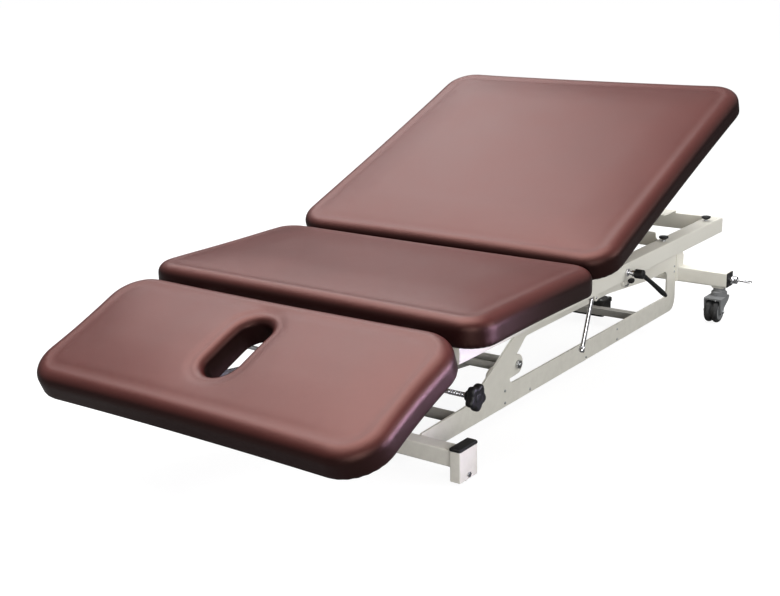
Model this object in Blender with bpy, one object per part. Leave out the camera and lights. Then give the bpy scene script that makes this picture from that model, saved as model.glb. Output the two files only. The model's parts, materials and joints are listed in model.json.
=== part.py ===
"""Three-section hi-lo treatment table, lowest height, head section down and back section up.

Metres, +Z up, +X from the head end to the caster end, +Y to the table's left side.
X stations are measured from the head section's hinge until the last step, which
moves the whole table so that the origin is on the floor at the middle of its box.
"""
import math

import bmesh
import bpy
from mathutils import Matrix, Vector
from mathutils.geometry import tessellate_polygon

# Top and cushions
TABLE_WIDTH = 1.016
TOP_HEIGHT = 0.457
PAD_THICKNESS = 0.069
HEAD_LENGTH = 0.4156
MID_LENGTH = 0.5713
BACK_LENGTH = 0.968
HEAD_GAP = 0.024
BACK_GAP = 0.036
HEAD_TILT = math.radians(22.6)
BACK_TILT = math.radians(21.25)
HEAD_CORNER = 0.095
MID_CORNER = 0.070
BACK_CORNER = 0.085
PAD_TOP_ROUND = 0.028
PAD_BOTTOM_ROUND = 0.012
PAD_CROWN = 0.007
PAD_RIDGE_DIP = 0.0015
PAD_SIDE_BOW = 0.004
POCKET_INSET = 0.030
BOARD_THICKNESS = 0.015
NOSE_SLOT_LENGTH = 0.200
NOSE_SLOT_WIDTH = 0.094
NOSE_SLOT_FLARE = 0.022
NOSE_SLOT_STATION = 0.195
NOSE_SLEEVE = 0.006

# Section hinges and the straps under the boards
HINGE_RISE = 0.012
HINGE_ROD_R = 0.004
HINGE_EYE_R = 0.007
LUG_THICKNESS = 0.008
HINGE_LUG_Y = 0.300
STRAP_WIDTH = 0.040
STRAP_THICKNESS = 0.010
STRAP_START = 0.030
STRAP_Y = 0.115
END_STRAP_HALF = 0.250
HEAD_STRAP_LENGTH = 0.320
BACK_STRAP_LENGTH = 0.780

# Upper frame
RAIL_SIZE = 0.050
RAIL_WALL = 0.0025
TUBE_EDGE = 0.005
RAIL_OUTER_Y = 0.410
RAIL_DROP = 0.0155
RAIL_FRONT_SETBACK = 0.0906
RAIL_REAR_OVERHANG = 0.0433
CROSS_SIZE = 0.040
CROSS_WALL = 0.003
FRONT_CROSS_SETBACK = 0.1056
HINGE_CROSS_SETBACK = 0.0507
REAR_PLATE_SETBACK = 0.010
REAR_PLATE_THICKNESS = 0.006
REAR_LIP_HALF = 0.256
REAR_LIP_RISE = 0.0085
REAR_LIP_DEPTH = 0.085
REAR_LIP_THICKNESS = 0.003
REST_PLATE_FROM_REAR = 0.304
REST_NOTCH_WIDTH = 0.042
REST_NOTCH_DROP = 0.024
REST_NOTCH_ROUND = 0.014
PLATE_LIFT = 0.006
BUMPER_R = 0.0145
BUMPER_STEM_R = 0.004
BUMPER_FROM_REAR = (0.076, 0.396)

# Lift linkage
FRONT_PIVOT_FROM_BACK_HINGE = 0.0593
FRONT_PIVOT_Z = 0.125
REAR_PIVOT_FROM_FRONT = 0.650
REAR_PIVOT_Z = 0.205
ARM_LENGTH = 0.600
ARM_REST_ANGLE = math.radians(6.0)
ARM_HEIGHT = 0.045
ARM_THICKNESS = 0.020
ARM_Y = 0.080
TORQUE_TUBE_R = 0.0135
SHAFT_R = 0.008
SHAFT_HEAD_R = 0.012
SHAFT_HEAD_LENGTH = 0.008
ARM_PIN_R = 0.008
HANGER_R = 0.020
ARM_TIE_FROM_PIVOT = 0.067
ARM_TIE_R = 0.011
TOP_RISE = 0.460

# Lift actuator
CRANK_R = 0.130
CRANK_ANGLE = math.radians(-60.0)
TRUNNION_ANGLE = math.radians(-148.0)
ACTUATOR_Y = 0.125
ACTUATOR_TUBE_R = 0.018
ACTUATOR_TUBE_FORWARD = 0.100
ACTUATOR_GEARBOX_R = 0.032
ACTUATOR_MOTOR_R = 0.026
ACTUATOR_REAR = 0.165
ACTUATOR_ROD_R = 0.010
ROD_EYE_R = 0.016
ROD_EYE_WIDTH = 0.025
CRANK_PIN_R = 0.007
EAR_THICKNESS = 0.006
TRUNNION_R = 0.006

# Head stays and their cross rod
CLAMP_ROD_SETBACK = 0.1706
CLAMP_ROD_DROP = 0.1825
CLAMP_ROD_R = 0.006
STAY_LUG_DROP = 0.045
STAY_Y = 0.1395
STAY_THICKNESS = 0.006
STAY_WIDTH = 0.028
STAY_PIN_R = 0.006
HEAD_UP_LIMIT = math.radians(20.0)
HEAD_DOWN_LIMIT = math.radians(28.0)
ROD_BRACKET_Y = 0.165
ROD_COLLAR_R = 0.011
ROD_COLLAR_WIDTH = 0.006
KNOB_Y = 0.400
KNOB_R = 0.0305
KNOB_LOBE = 0.004
KNOB_LOBES = 5
KNOB_THICKNESS = 0.022
KNOB_HUB_R = 0.013

# Gas spring of the back section
GAS_REACH = 0.210
GAS_ANCHOR_ANGLE = math.radians(-100.0)
GAS_LUG_DROP = 0.042
GAS_CYLINDER_R = 0.011
GAS_CYLINDER_LENGTH = 0.220
GAS_ROD_R = 0.005
GAS_ROD_LENGTH = 0.255
GAS_EYE_R = 0.010
GAS_EYE_WIDTH = 0.018
GAS_EAR_Y = 0.013
GAS_PIN_R = 0.005

# Base
PLATE_OUTER_Y = 0.230
PLATE_THICKNESS = 0.006
PLATE_BOTTOM_Z = 0.025
PLATE_BAR_HEIGHT = 0.058
PLATE_TOP_Z = 0.245
PLATE_STRIP_HEIGHT = 0.048
PLATE_BELLY_DROP = 0.024
PLATE_UPRIGHT_WIDTH = 0.066
PLATE_FRONT_ARM_Z = 0.082
DIAGONAL_FOOT_FROM_PIVOT = 0.250
DIAGONAL_TOP_FROM_PIVOT = 0.032
WINDOW_FRONT_FROM_PIVOT = 0.052
WINDOW_FRONT_RISE = 0.046
WINDOW_FRONT_RAKE = 0.088
BELLY_START_FROM_PIVOT = 0.120
BELLY_END_FROM_PIVOT = 0.160
BELLY_START_ROUND = 0.150
BELLY_END_ROUND = 0.060
LUG_R = 0.028
BASE_LUG_THICKNESS = 0.012
BASE_LUG_REACH = 0.120
FRONT_BEAM_FROM_PIVOT = 0.515
FRONT_BEAM_SIZE = 0.045
FRONT_BEAM_Z = 0.035
BEAM_WALL = 0.003
POST_OUTER_Y = 0.381
POST_WIDTH = 0.030
POST_LENGTH = 0.078
POST_FORWARD = 0.016
POST_BOTTOM_Z = 0.008
POST_EDGE = 0.0035
POST_HEIGHT = 0.078
CAP_HEIGHT = 0.009
CAP_LIP = 0.0015
CAP_CHAMFER = 0.003
ROLLER_R = 0.019
ROLLER_WIDTH = 0.018
ROLLER_AXLE_R = 0.004
REAR_BEAM_FROM_PIVOT = 0.400
REAR_BEAM_SIZE = 0.050
REAR_BEAM_Z = 0.116
REAR_BEAM_END_Y = 0.402
PLATE_TO_BEAM = 0.016
GUSSET_RISE = 0.050
GUSSET_LENGTH = 0.056
PAD_UNDER_BEAM = 0.006
PLUG_THICKNESS = 0.003
PLUG_DEPTH = 0.018
FRONT_TUBE_FROM_PIVOT = 0.285
FRONT_TUBE_Z = 0.070
FRONT_TUBE_R = 0.015
CROSS_BAR_FROM_PIVOT = 0.152
CROSS_BAR_DEPTH = 0.030
CROSS_BAR_Z = 0.034
CROSS_BAR_HEIGHT = 0.022
CONTROL_BOX_LENGTH = 0.066
CONTROL_BOX_WIDTH = 0.126
CONTROL_BOX_HEIGHT = 0.055
CONTROL_BOX_Z = 0.018

# Casters and plungers
CASTER_Y = 0.370
CASTER_TRAIL = 0.040
WHEEL_R = 0.0375
WHEEL_WIDTH = 0.046
WHEEL_GROOVE = 0.006
WHEEL_BORE_R = 0.005
FORK_ARM = 0.005
FORK_CROWN = 0.005
FORK_OVER_WHEEL = 0.0035
FORK_HUB_R = 0.011
FORK_REACH = 0.020
FORK_BACK = 0.018
FORK_DISC_R = 0.026
FORK_NECK_R = 0.020
CASTER_STEM_R = 0.006
STEM_INTO_BEAM = 0.012
PLUNGER_R = 0.006
PLUNGER_COLLAR_R = 0.012
PLUNGER_COLLAR_LENGTH = 0.028
PLUNGER_NOSE = 0.030
PLUNGER_TAIL = 0.026
PULL_RING_R = 0.010
PULL_RING_WIRE = 0.0022
PLUNGER_TRAVEL = 0.012

# Clamp levers and the release lever
CLAMP_FROM_BACK_HINGE = 0.336
CLAMP_STUD_R = 0.006
CLAMP_STUD_LENGTH = 0.026
CLAMP_HUB_R = 0.013
CLAMP_HUB_LENGTH = 0.026
CLAMP_ARM_OUT = 0.033
CLAMP_ARM_BACK = 0.106
CLAMP_ARM_DOWN = 0.085
CLAMP_ARM_R = 0.0075
RELEASE_FROM_BACK_HINGE = 0.180
RELEASE_Y = -0.385
RELEASE_DROP = 0.012
RELEASE_LENGTH = 0.150
RELEASE_LEAN = math.radians(21.7)
RELEASE_R = 0.006
RELEASE_EYE_R = 0.009
RELEASE_EYE_WIDTH = 0.018
RELEASE_PIN_R = 0.004

# Clearances and facet counts
SEAT = 0.0003
RUN = 0.0003
OVERLAP = 0.0005
ROUND = 16
SMALL_ROUND = 10
WELD = 0.00001

# Heights that follow
PAD_BOTTOM_Z = TOP_HEIGHT - PAD_THICKNESS
HINGE_Z = PAD_BOTTOM_Z + HINGE_RISE
FRAME_TOP_Z = PAD_BOTTOM_Z - SEAT
RAIL_TOP_Z = PAD_BOTTOM_Z - RAIL_DROP
RAIL_BOTTOM_Z = RAIL_TOP_Z - RAIL_SIZE
RAIL_INNER_Y = RAIL_OUTER_Y - RAIL_SIZE
RAIL_MID_Y = RAIL_OUTER_Y - RAIL_SIZE / 2
CROSS_BOTTOM_Z = FRAME_TOP_Z - CROSS_SIZE
CROSS_MID_Z = FRAME_TOP_Z - CROSS_SIZE / 2
CROSS_HALF_Y = RAIL_INNER_Y - SEAT
STRAP_LOW = -HINGE_RISE - SEAT - STRAP_THICKNESS
STRAP_HIGH = -HINGE_RISE - SEAT

# Stations along the table, from the head hinge
HEAD_HINGE_X = 0.0
MID_FRONT_X = HEAD_GAP / 2
BACK_HINGE_X = MID_FRONT_X + MID_LENGTH + BACK_GAP / 2
BACK_END_X = BACK_HINGE_X + BACK_GAP / 2 + BACK_LENGTH
RAIL_FRONT_X = HEAD_HINGE_X + RAIL_FRONT_SETBACK
RAIL_REAR_X = BACK_END_X + RAIL_REAR_OVERHANG
FRONT_CROSS_X = HEAD_HINGE_X + FRONT_CROSS_SETBACK
HINGE_CROSS_X = BACK_HINGE_X - HINGE_CROSS_SETBACK - CROSS_SIZE
FRONT_PIVOT = (BACK_HINGE_X + FRONT_PIVOT_FROM_BACK_HINGE, FRONT_PIVOT_Z)
REAR_PIVOT = (FRONT_PIVOT[0] + REAR_PIVOT_FROM_FRONT, REAR_PIVOT_Z)
ARM_REACH = (-ARM_LENGTH * math.cos(ARM_REST_ANGLE), ARM_LENGTH * math.sin(ARM_REST_ANGLE))
FRONT_UPPER_PIVOT = (FRONT_PIVOT[0] + ARM_REACH[0], FRONT_PIVOT[1] + ARM_REACH[1])
REAR_UPPER_PIVOT = (REAR_PIVOT[0] + ARM_REACH[0], REAR_PIVOT[1] + ARM_REACH[1])
LIFT_ANGLE = math.asin(TOP_RISE / ARM_LENGTH + math.sin(ARM_REST_ANGLE)) - ARM_REST_ANGLE
FRONT_BEAM_X = FRONT_PIVOT[0] - FRONT_BEAM_FROM_PIVOT
REAR_BEAM_X = REAR_PIVOT[0] + REAR_BEAM_FROM_PIVOT
PLATE_FRONT_X = FRONT_BEAM_X + FRONT_BEAM_SIZE + SEAT
PLATE_REAR_X = REAR_BEAM_X - PLATE_TO_BEAM
PLATE_INNER_Y = PLATE_OUTER_Y - PLATE_THICKNESS
CASTER_X = REAR_BEAM_X + REAR_BEAM_SIZE / 2
CLAMP_ROD = (HEAD_HINGE_X + CLAMP_ROD_SETBACK, HINGE_Z - CLAMP_ROD_DROP)
STAY_REACH = math.hypot(CLAMP_ROD_SETBACK, CLAMP_ROD_DROP)
STAY_LUG_STATION = math.sqrt(STAY_REACH ** 2 - STAY_LUG_DROP ** 2)
GAS_LUG_STATION = math.sqrt(GAS_REACH ** 2 - GAS_LUG_DROP ** 2)
GAS_ANCHOR = (
    BACK_HINGE_X + GAS_REACH * math.cos(GAS_ANCHOR_ANGLE),
    HINGE_Z + GAS_REACH * math.sin(GAS_ANCHOR_ANGLE),
)


def around_rear_pivot(angle):
    """Point at the crank's radius from the rear pivot, the angle up from the forward direction."""
    return (REAR_PIVOT[0] - CRANK_R * math.cos(angle), REAR_PIVOT[1] + CRANK_R * math.sin(angle))


CRANK_PIN = around_rear_pivot(CRANK_ANGLE)
TRUNNION = around_rear_pivot(TRUNNION_ANGLE)


def turned_point(hinge, local, angle):
    """World (x, z) of a section's own point (x, z), the section turned about its hinge by angle."""
    c = math.cos(angle)
    s = math.sin(angle)
    return (hinge[0] + local[0] * c + local[1] * s, hinge[1] - local[0] * s + local[1] * c)


HEAD_HINGE = (HEAD_HINGE_X, HINGE_Z)
BACK_HINGE = (BACK_HINGE_X, HINGE_Z)
STAY_PIN = turned_point(HEAD_HINGE, (-STAY_LUG_STATION, -STAY_LUG_DROP), -HEAD_TILT)
GAS_PIN = turned_point(BACK_HINGE, (GAS_LUG_STATION, -GAS_LUG_DROP), -BACK_TILT)

PAINT = {
    "vinyl": ((0.26, 0.075, 0.078, 1.0), 0.42, 0.0),
    "plywood": ((0.58, 0.42, 0.26, 1.0), 0.70, 0.0),
    "cream_paint": ((0.80, 0.77, 0.68, 1.0), 0.40, 0.0),
    "grey_paint": ((0.28, 0.285, 0.275, 1.0), 0.42, 0.0),
    "black_plastic": ((0.018, 0.018, 0.020, 1.0), 0.45, 0.0),
    "chrome": ((0.78, 0.78, 0.80, 1.0), 0.14, 1.0),
    "zinc": ((0.55, 0.56, 0.57, 1.0), 0.35, 1.0),
    "tyre_rubber": ((0.05, 0.05, 0.055, 1.0), 0.60, 0.0),
    "caster_grey": ((0.26, 0.27, 0.28, 1.0), 0.45, 0.0),
}


def clear_scene():
    for obj in list(bpy.data.objects):
        bpy.data.objects.remove(obj, do_unlink=True)


def painted(name, paint):
    colour, roughness, metallic = PAINT[paint]
    mat = bpy.data.materials.new(name + "_" + paint)
    mat.use_nodes = True
    shader = mat.node_tree.nodes["Principled BSDF"]
    shader.inputs["Base Color"].default_value = colour
    shader.inputs["Roughness"].default_value = roughness
    shader.inputs["Metallic"].default_value = metallic
    return mat


# Outlines


def arc_points(centre, radius, start, end, count):
    step = (end - start) / (count - 1)
    return [
        (centre[0] + radius * math.cos(start + i * step), centre[1] + radius * math.sin(start + i * step))
        for i in range(count)
    ]


def circle(centre, radius, count=ROUND):
    return arc_points(centre, radius, 0.0, 2 * math.pi * (count - 1) / count, count)


def bore(pin_radius, count=ROUND):
    """Corner radius of a faceted hole whose flats clear a pin by the running gap."""
    return (pin_radius + RUN) / math.cos(math.pi / count)


def link(p, q, rp, rq, count=8):
    """Bar outline with round ends of radius rp at p and rq at q."""
    dx = q[0] - p[0]
    dz = q[1] - p[1]
    heading = math.atan2(dz, dx)
    flank = math.acos((rp - rq) / math.hypot(dx, dz))
    far = arc_points(q, rq, heading - flank, heading + flank, count)
    near = arc_points(p, rp, heading + flank, heading + 2 * math.pi - flank, count)
    return far + near


def filleted(corners, steps=4):
    """Closed outline from (x, z, radius) corners, each rounded by its own radius."""
    points = []
    total = len(corners)
    for i, (x, z, radius) in enumerate(corners):
        here = Vector((x, z))
        back = Vector(corners[i - 1][:2]) - here
        on = Vector(corners[(i + 1) % total][:2]) - here
        if radius <= 0.0:
            points.append((x, z))
            continue
        half = back.angle(on) / 2
        reach = min(radius / math.tan(half), 0.49 * back.length, 0.49 * on.length)
        radius = reach * math.tan(half)
        start = here + back.normalized() * reach
        end = here + on.normalized() * reach
        middle = here + (back.normalized() + on.normalized()).normalized() * (radius / math.sin(half))
        a0 = math.atan2(start.y - middle.y, start.x - middle.x)
        turn = math.atan2(end.y - middle.y, end.x - middle.x) - a0
        turn = (turn + math.pi) % (2 * math.pi) - math.pi
        points += arc_points(middle, radius, a0, a0 + turn, steps + 1)
    return points


def slot_outline(centre, length, width, count=9):
    """Stadium along x."""
    run = (length - width) / 2
    right = arc_points((centre[0] + run, centre[1]), width / 2, -math.pi / 2, math.pi / 2, count)
    left = arc_points((centre[0] - run, centre[1]), width / 2, math.pi / 2, 3 * math.pi / 2, count)
    return right + left


# Solids, each a bmesh


def rounded(a0, a1, b0, b1, radius):
    """Rectangle with rounded corners, for a tube's section."""
    return filleted([(a0, b0, radius), (a1, b0, radius), (a1, b1, radius), (a0, b1, radius)], 2)


def extruded(loops, low, high, axis="Y"):
    """Prism of an outline with holes, from low to high along an axis."""
    place = {
        "X": lambda a, b, t: (t, a, b),
        "Y": lambda a, b, t: (a, t, b),
        "Z": lambda a, b, t: (a, b, t),
    }[axis]
    low, high = min(low, high), max(low, high)
    flat = [point for loop in loops for point in loop]
    bm = bmesh.new()
    ends = [[bm.verts.new(place(a, b, t)) for a, b in flat] for t in (low, high)]
    for corners in tessellate_polygon([[Vector((a, b, 0.0)) for a, b in loop] for loop in loops]):
        for end in ends:
            bm.faces.new([end[i] for i in corners])
    first = 0
    for loop in loops:
        count = len(loop)
        for i in range(count):
            a = first + i
            b = first + (i + 1) % count
            bm.faces.new([ends[0][a], ends[0][b], ends[1][b], ends[1][a]])
        first += count
    bmesh.ops.recalc_face_normals(bm, faces=bm.faces)
    return bm


def block(x0, x1, y0, y1, z0, z1):
    return extruded([[(x0, z0), (x1, z0), (x1, z1), (x0, z1)]], y0, y1)


def turned(profile, base, direction, count=ROUND):
    """Turned solid: (radius, height) stations along a direction from base, closed on the axis."""
    turn = Vector((0, 0, 1)).rotation_difference(Vector(direction)).to_matrix().to_4x4()
    place = Matrix.Translation(base) @ turn
    bm = bmesh.new()
    rings = []
    for radius, height in profile:
        if radius == 0.0:
            rings.append([bm.verts.new((0, 0, height))])
        else:
            rings.append([bm.verts.new((a, b, height)) for a, b in circle((0, 0), radius, count)])
    for lower, upper in zip(rings, rings[1:]):
        for i in range(count):
            j = (i + 1) % count
            corners = [lower[i % len(lower)], lower[j % len(lower)], upper[j % len(upper)], upper[i % len(upper)]]
            kept = list(dict.fromkeys(corners))
            bm.faces.new(kept)
    bmesh.ops.transform(bm, matrix=place, verts=bm.verts)
    bmesh.ops.recalc_face_normals(bm, faces=bm.faces)
    return bm


def rod(start, end, radius, count=ROUND):
    span = Vector(end) - Vector(start)
    return turned([(0, 0), (radius, 0), (radius, span.length), (0, span.length)], start, span, count)


def cross_rod(point, y0, y1, radius, count=ROUND):
    """Round bar along Y through an (x, z) point."""
    low, high = min(y0, y1), max(y0, y1)
    return rod((point[0], low, point[1]), (point[0], high, point[1]), radius, count)


def ring_stack(rings, caps=True):
    """Closed skin over rings with equal point counts."""
    bm = bmesh.new()
    layers = [[bm.verts.new(point) for point in ring] for ring in rings]
    count = len(rings[0])
    for lower, upper in zip(layers, layers[1:]):
        for i in range(count):
            j = (i + 1) % count
            bm.faces.new([lower[i], lower[j], upper[j], upper[i]])
    if caps:
        bm.faces.new(layers[0])
        bm.faces.new(layers[-1])
    bmesh.ops.recalc_face_normals(bm, faces=bm.faces)
    return bm


def work_object(bm):
    mesh = bpy.data.meshes.new("work")
    bm.to_mesh(mesh)
    bm.free()
    obj = bpy.data.objects.new("work", mesh)
    bpy.context.scene.collection.objects.link(obj)
    return obj


def node(name, paint, solids, cuts=(), pivot=(0.0, 0.0, 0.0), parent=None):
    """One named piece: solids welded together, cuts taken out, its origin at pivot."""
    operands = [("UNION", work_object(bm)) for bm in solids[1:]]
    operands += [("DIFFERENCE", work_object(bm)) for bm in cuts]
    body = work_object(solids[0])
    for operation, tool in operands:
        modifier = body.modifiers.new(operation.lower(), "BOOLEAN")
        modifier.operation = operation
        modifier.solver = "EXACT"
        modifier.object = tool
    bpy.context.view_layer.update()
    mesh = bpy.data.meshes.new_from_object(body.evaluated_get(bpy.context.evaluated_depsgraph_get()))
    for tool in [body] + [tool for _, tool in operands]:
        bpy.data.objects.remove(tool, do_unlink=True)
    tidy = bmesh.new()
    tidy.from_mesh(mesh)
    bmesh.ops.remove_doubles(tidy, verts=tidy.verts, dist=WELD)
    bmesh.ops.dissolve_limit(tidy, angle_limit=math.radians(0.05), verts=tidy.verts, edges=tidy.edges)
    tidy.to_mesh(mesh)
    tidy.free()
    mesh.name = name
    mesh.transform(Matrix.Translation(-Vector(pivot)))
    mesh.materials.clear()
    mesh.materials.append(painted(name, paint))
    mesh.shade_smooth()
    mesh.set_sharp_from_angle(angle=math.radians(35.0))
    obj = bpy.data.objects.new(name, mesh)
    obj.location = pivot
    obj.parent = parent
    bpy.context.scene.collection.objects.link(obj)
    return obj


def empty(name, location, turn_y=0.0, parent=None):
    obj = bpy.data.objects.new(name, None)
    obj.location = location
    obj.rotation_euler = (0.0, turn_y, 0.0)
    obj.parent = parent
    bpy.context.scene.collection.objects.link(obj)
    return obj


SIDES = (("right", -1.0), ("left", 1.0))


# Cushions and boards, in each section's own frame: hinge axis at the origin, flat


def pad_outline(length, corner, inset, bow, corner_steps=5, side_steps=6):
    """Rounded rectangle drawn in between its corners, centred on the origin."""
    hx = length / 2 - inset
    hy = TABLE_WIDTH / 2 - inset
    radius = max(corner - inset, 0.25 * min(hx, hy, corner))
    corners = [(hx - radius, hy - radius), (radius - hx, hy - radius),
               (radius - hx, radius - hy), (hx - radius, radius - hy)]
    points = []
    for k, centre in enumerate(corners):
        start = k * math.pi / 2
        points += arc_points(centre, radius, start, start + math.pi / 2, corner_steps + 1)
        after = corners[(k + 1) % 4]
        inward = Vector((math.cos(start + math.pi / 2), math.sin(start + math.pi / 2)))
        a = Vector(points[-1])
        b = Vector(after) + inward * radius
        for i in range(1, side_steps):
            t = i / side_steps
            drawn = a.lerp(b, t) - inward * bow * 4 * t * (1 - t)
            points.append((drawn.x, drawn.y))
    return points


def pad_solid(length, corner, centre_x, bottom):
    """Crowned cushion with rounded edges and a pocket for its board underneath."""
    pocket_top = BOARD_THICKNESS + SEAT
    low = PAD_BOTTOM_ROUND
    top = PAD_TOP_ROUND
    stations = [(POCKET_INSET, pocket_top, 0.0), (POCKET_INSET, 0.0, 0.0)]
    for angle in (90, 45, 0):
        a = math.radians(angle)
        stations.append((low - low * math.cos(a), low - low * math.sin(a), PAD_SIDE_BOW))
    for angle in (0, 30, 60, 90):
        a = math.radians(angle)
        edge = PAD_THICKNESS - top + top * math.sin(a)
        stations.append((top - top * math.cos(a), edge, PAD_SIDE_BOW))
    half = min(length, TABLE_WIDTH) / 2
    stations.append((top * 1.5, PAD_THICKNESS - PAD_RIDGE_DIP, PAD_SIDE_BOW))
    for share in (0.35, 0.58, 0.80):
        rise = 1.0 - (1.0 - share) ** 2
        stations.append((share * half, PAD_THICKNESS + PAD_CROWN * rise, 0.0))
    rings = []
    for inset, height, bow in stations:
        outline = pad_outline(length, corner, inset, bow)
        rings.append([(centre_x + x, y, bottom + height) for x, y in outline])
    return ring_stack(rings)


def nose_slot_cutter(centre_x, bottom):
    """Slot through the head cushion, flared like a padded rim at the top."""
    over = 0.02
    top = PAD_THICKNESS + PAD_CROWN
    flare = NOSE_SLOT_FLARE
    levels = [(0.0, -over), (0.0, top - flare)]
    for angle in (30, 60, 80):
        a = math.radians(angle)
        levels.append((flare - flare * math.cos(a), top - flare + flare * math.sin(a)))
    levels.append((flare, top + over))
    rings = []
    for grow, height in levels:
        outline = slot_outline((centre_x, 0.0), NOSE_SLOT_LENGTH + 2 * grow, NOSE_SLOT_WIDTH + 2 * grow)
        rings.append([(x, y, bottom + height) for x, y in outline])
    return ring_stack(rings)


def board_solid(length, corner, centre_x, bottom, hole=None):
    outline = pad_outline(length, corner, POCKET_INSET + SEAT, 0.0, side_steps=1)
    loops = [[(centre_x + x, y) for x, y in outline]]
    if hole:
        loops.append(hole)
    return extruded(loops, bottom, bottom + BOARD_THICKNESS, "Z")


def cushion_section(name, length, corner, centre_x, parent, base_z):
    """A cushion and its board; the head one has the nose slot, lined down through the board."""
    solids = [pad_solid(length, corner, centre_x, base_z)]
    cuts = []
    hole = None
    if name == "head":
        slot = (-NOSE_SLOT_STATION, 0.0)

        def around_slot(grow):
            return slot_outline(slot, NOSE_SLOT_LENGTH + 2 * grow, NOSE_SLOT_WIDTH + 2 * grow)

        solids.append(extruded([around_slot(NOSE_SLEEVE)], base_z, base_z + BOARD_THICKNESS + 2 * OVERLAP, "Z"))
        cuts = [nose_slot_cutter(slot[0], base_z)]
        hole = around_slot(NOSE_SLEEVE + SEAT)
    node(name + "_cushion", "vinyl", solids, cuts, parent=parent)
    node(name + "_board", "plywood", [board_solid(length, corner, centre_x, base_z, hole)], parent=parent)


# Hinge lugs: an eye in the gap between cushions on a foot that runs under them


def hinge_lug(hinge, foot_x, y0, y1):
    foot_low = hinge[1] + STRAP_LOW - STRAP_THICKNESS
    foot_high = hinge[1] + STRAP_HIGH
    eye = link(hinge, (hinge[0], foot_low + HINGE_EYE_R), HINGE_EYE_R, HINGE_EYE_R * 0.999)
    foot = block(min(hinge[0], foot_x), max(hinge[0], foot_x), y0, y1, foot_low, foot_high)
    return [extruded([eye], y0, y1), foot]


def hinge_bore(hinge, y_out):
    return cross_rod(hinge, -y_out, y_out, bore(HINGE_ROD_R, SMALL_ROUND), SMALL_ROUND)


def lug_span(side, inner):
    start = HINGE_LUG_Y if inner else HINGE_LUG_Y + LUG_THICKNESS + RUN
    return side * start, side * (start + LUG_THICKNESS)


HINGE_ROD_HALF = HINGE_LUG_Y + 2 * LUG_THICKNESS + RUN


def section_frame(name, sign, parent, strap_length, lug_x, lug_drop, lug_ys, pin_r, lug_side):
    """Steel straps under a board: a cross strap with hinge lugs, two long straps, lugs with pins."""
    start = STRAP_START
    half_y = HINGE_LUG_Y + 2 * LUG_THICKNESS
    near = sorted((sign * start, sign * (start + STRAP_WIDTH)))
    solids = [block(near[0], near[1], -half_y, half_y, STRAP_LOW, STRAP_HIGH)]
    far = sorted((sign * (start + STRAP_WIDTH - 0.005), sign * (start + strap_length - 0.005)))
    cuts = []
    for _, side in SIDES:
        y_mid = side * STRAP_Y
        y0, y1 = y_mid - STRAP_WIDTH / 2, y_mid + STRAP_WIDTH / 2
        solids.append(block(far[0], far[1], y0, y1, STRAP_LOW, STRAP_HIGH))
        solids += hinge_lug((0.0, 0.0), sign * (start + 0.010), *lug_span(side, True))
    end = sorted((sign * (start + strap_length - STRAP_WIDTH), sign * (start + strap_length)))
    solids.append(block(end[0], end[1], -END_STRAP_HALF, END_STRAP_HALF, STRAP_LOW, STRAP_HIGH))
    solids += lug_side(sign * lug_x, lug_drop, lug_ys, pin_r)
    cuts.append(hinge_bore((0.0, 0.0), half_y + 0.01))
    return node(name, "cream_paint", solids, cuts, parent=parent)


def stay_lugs(x, drop, inner_y, pin_r):
    """Lug under each long strap, with the pin that carries a stay and its head."""
    solids = []
    for _, side in SIDES:
        face = side * (inner_y - STAY_THICKNESS / 2 - RUN)
        back = face - side * LUG_THICKNESS
        outline = link((x, -drop), (x, STRAP_HIGH - 0.016), 0.013, 0.0129)
        solids.append(extruded([outline], face, back))
        grip = STAY_THICKNESS + 2 * RUN + OVERLAP
        profile = [(0, 0), (pin_r, 0), (pin_r, grip), (pin_r + 0.004, grip), (pin_r + 0.004, grip + 0.004),
                   (0, grip + 0.004)]
        start = (x, face - side * OVERLAP, -drop)
        solids.append(turned(profile, start, (0, side, 0), SMALL_ROUND))
    return solids


def gas_lugs(x, drop, half_width, pin_r):
    """Pair of lugs on a middle strap with the gas spring's pin across them."""
    solids = [block(x - STRAP_WIDTH / 2, x + STRAP_WIDTH / 2, -STRAP_Y, STRAP_Y, STRAP_LOW, STRAP_HIGH)]
    for _, side in SIDES:
        y0 = side * (half_width + RUN)
        outline = link((x, -drop), (x, STRAP_HIGH - 0.016), 0.012, 0.0119)
        solids.append(extruded([outline], y0, y0 + side * EAR_THICKNESS))
    reach = half_width + RUN + EAR_THICKNESS
    solids.append(cross_rod((x, -drop), -reach, reach, pin_r, SMALL_ROUND))
    return solids


def build_head(root):
    hinge = empty("head_section", (HEAD_HINGE_X, 0.0, HINGE_Z), -HEAD_TILT, root)
    centre = -(HEAD_GAP / 2 + HEAD_LENGTH / 2)
    cushion_section("head", HEAD_LENGTH, HEAD_CORNER, centre, hinge, -HINGE_RISE)
    section_frame("head_frame", -1.0, hinge, HEAD_STRAP_LENGTH, STAY_LUG_STATION, STAY_LUG_DROP,
                  STAY_Y, STAY_PIN_R, stay_lugs)
    build_stays(root)


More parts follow.
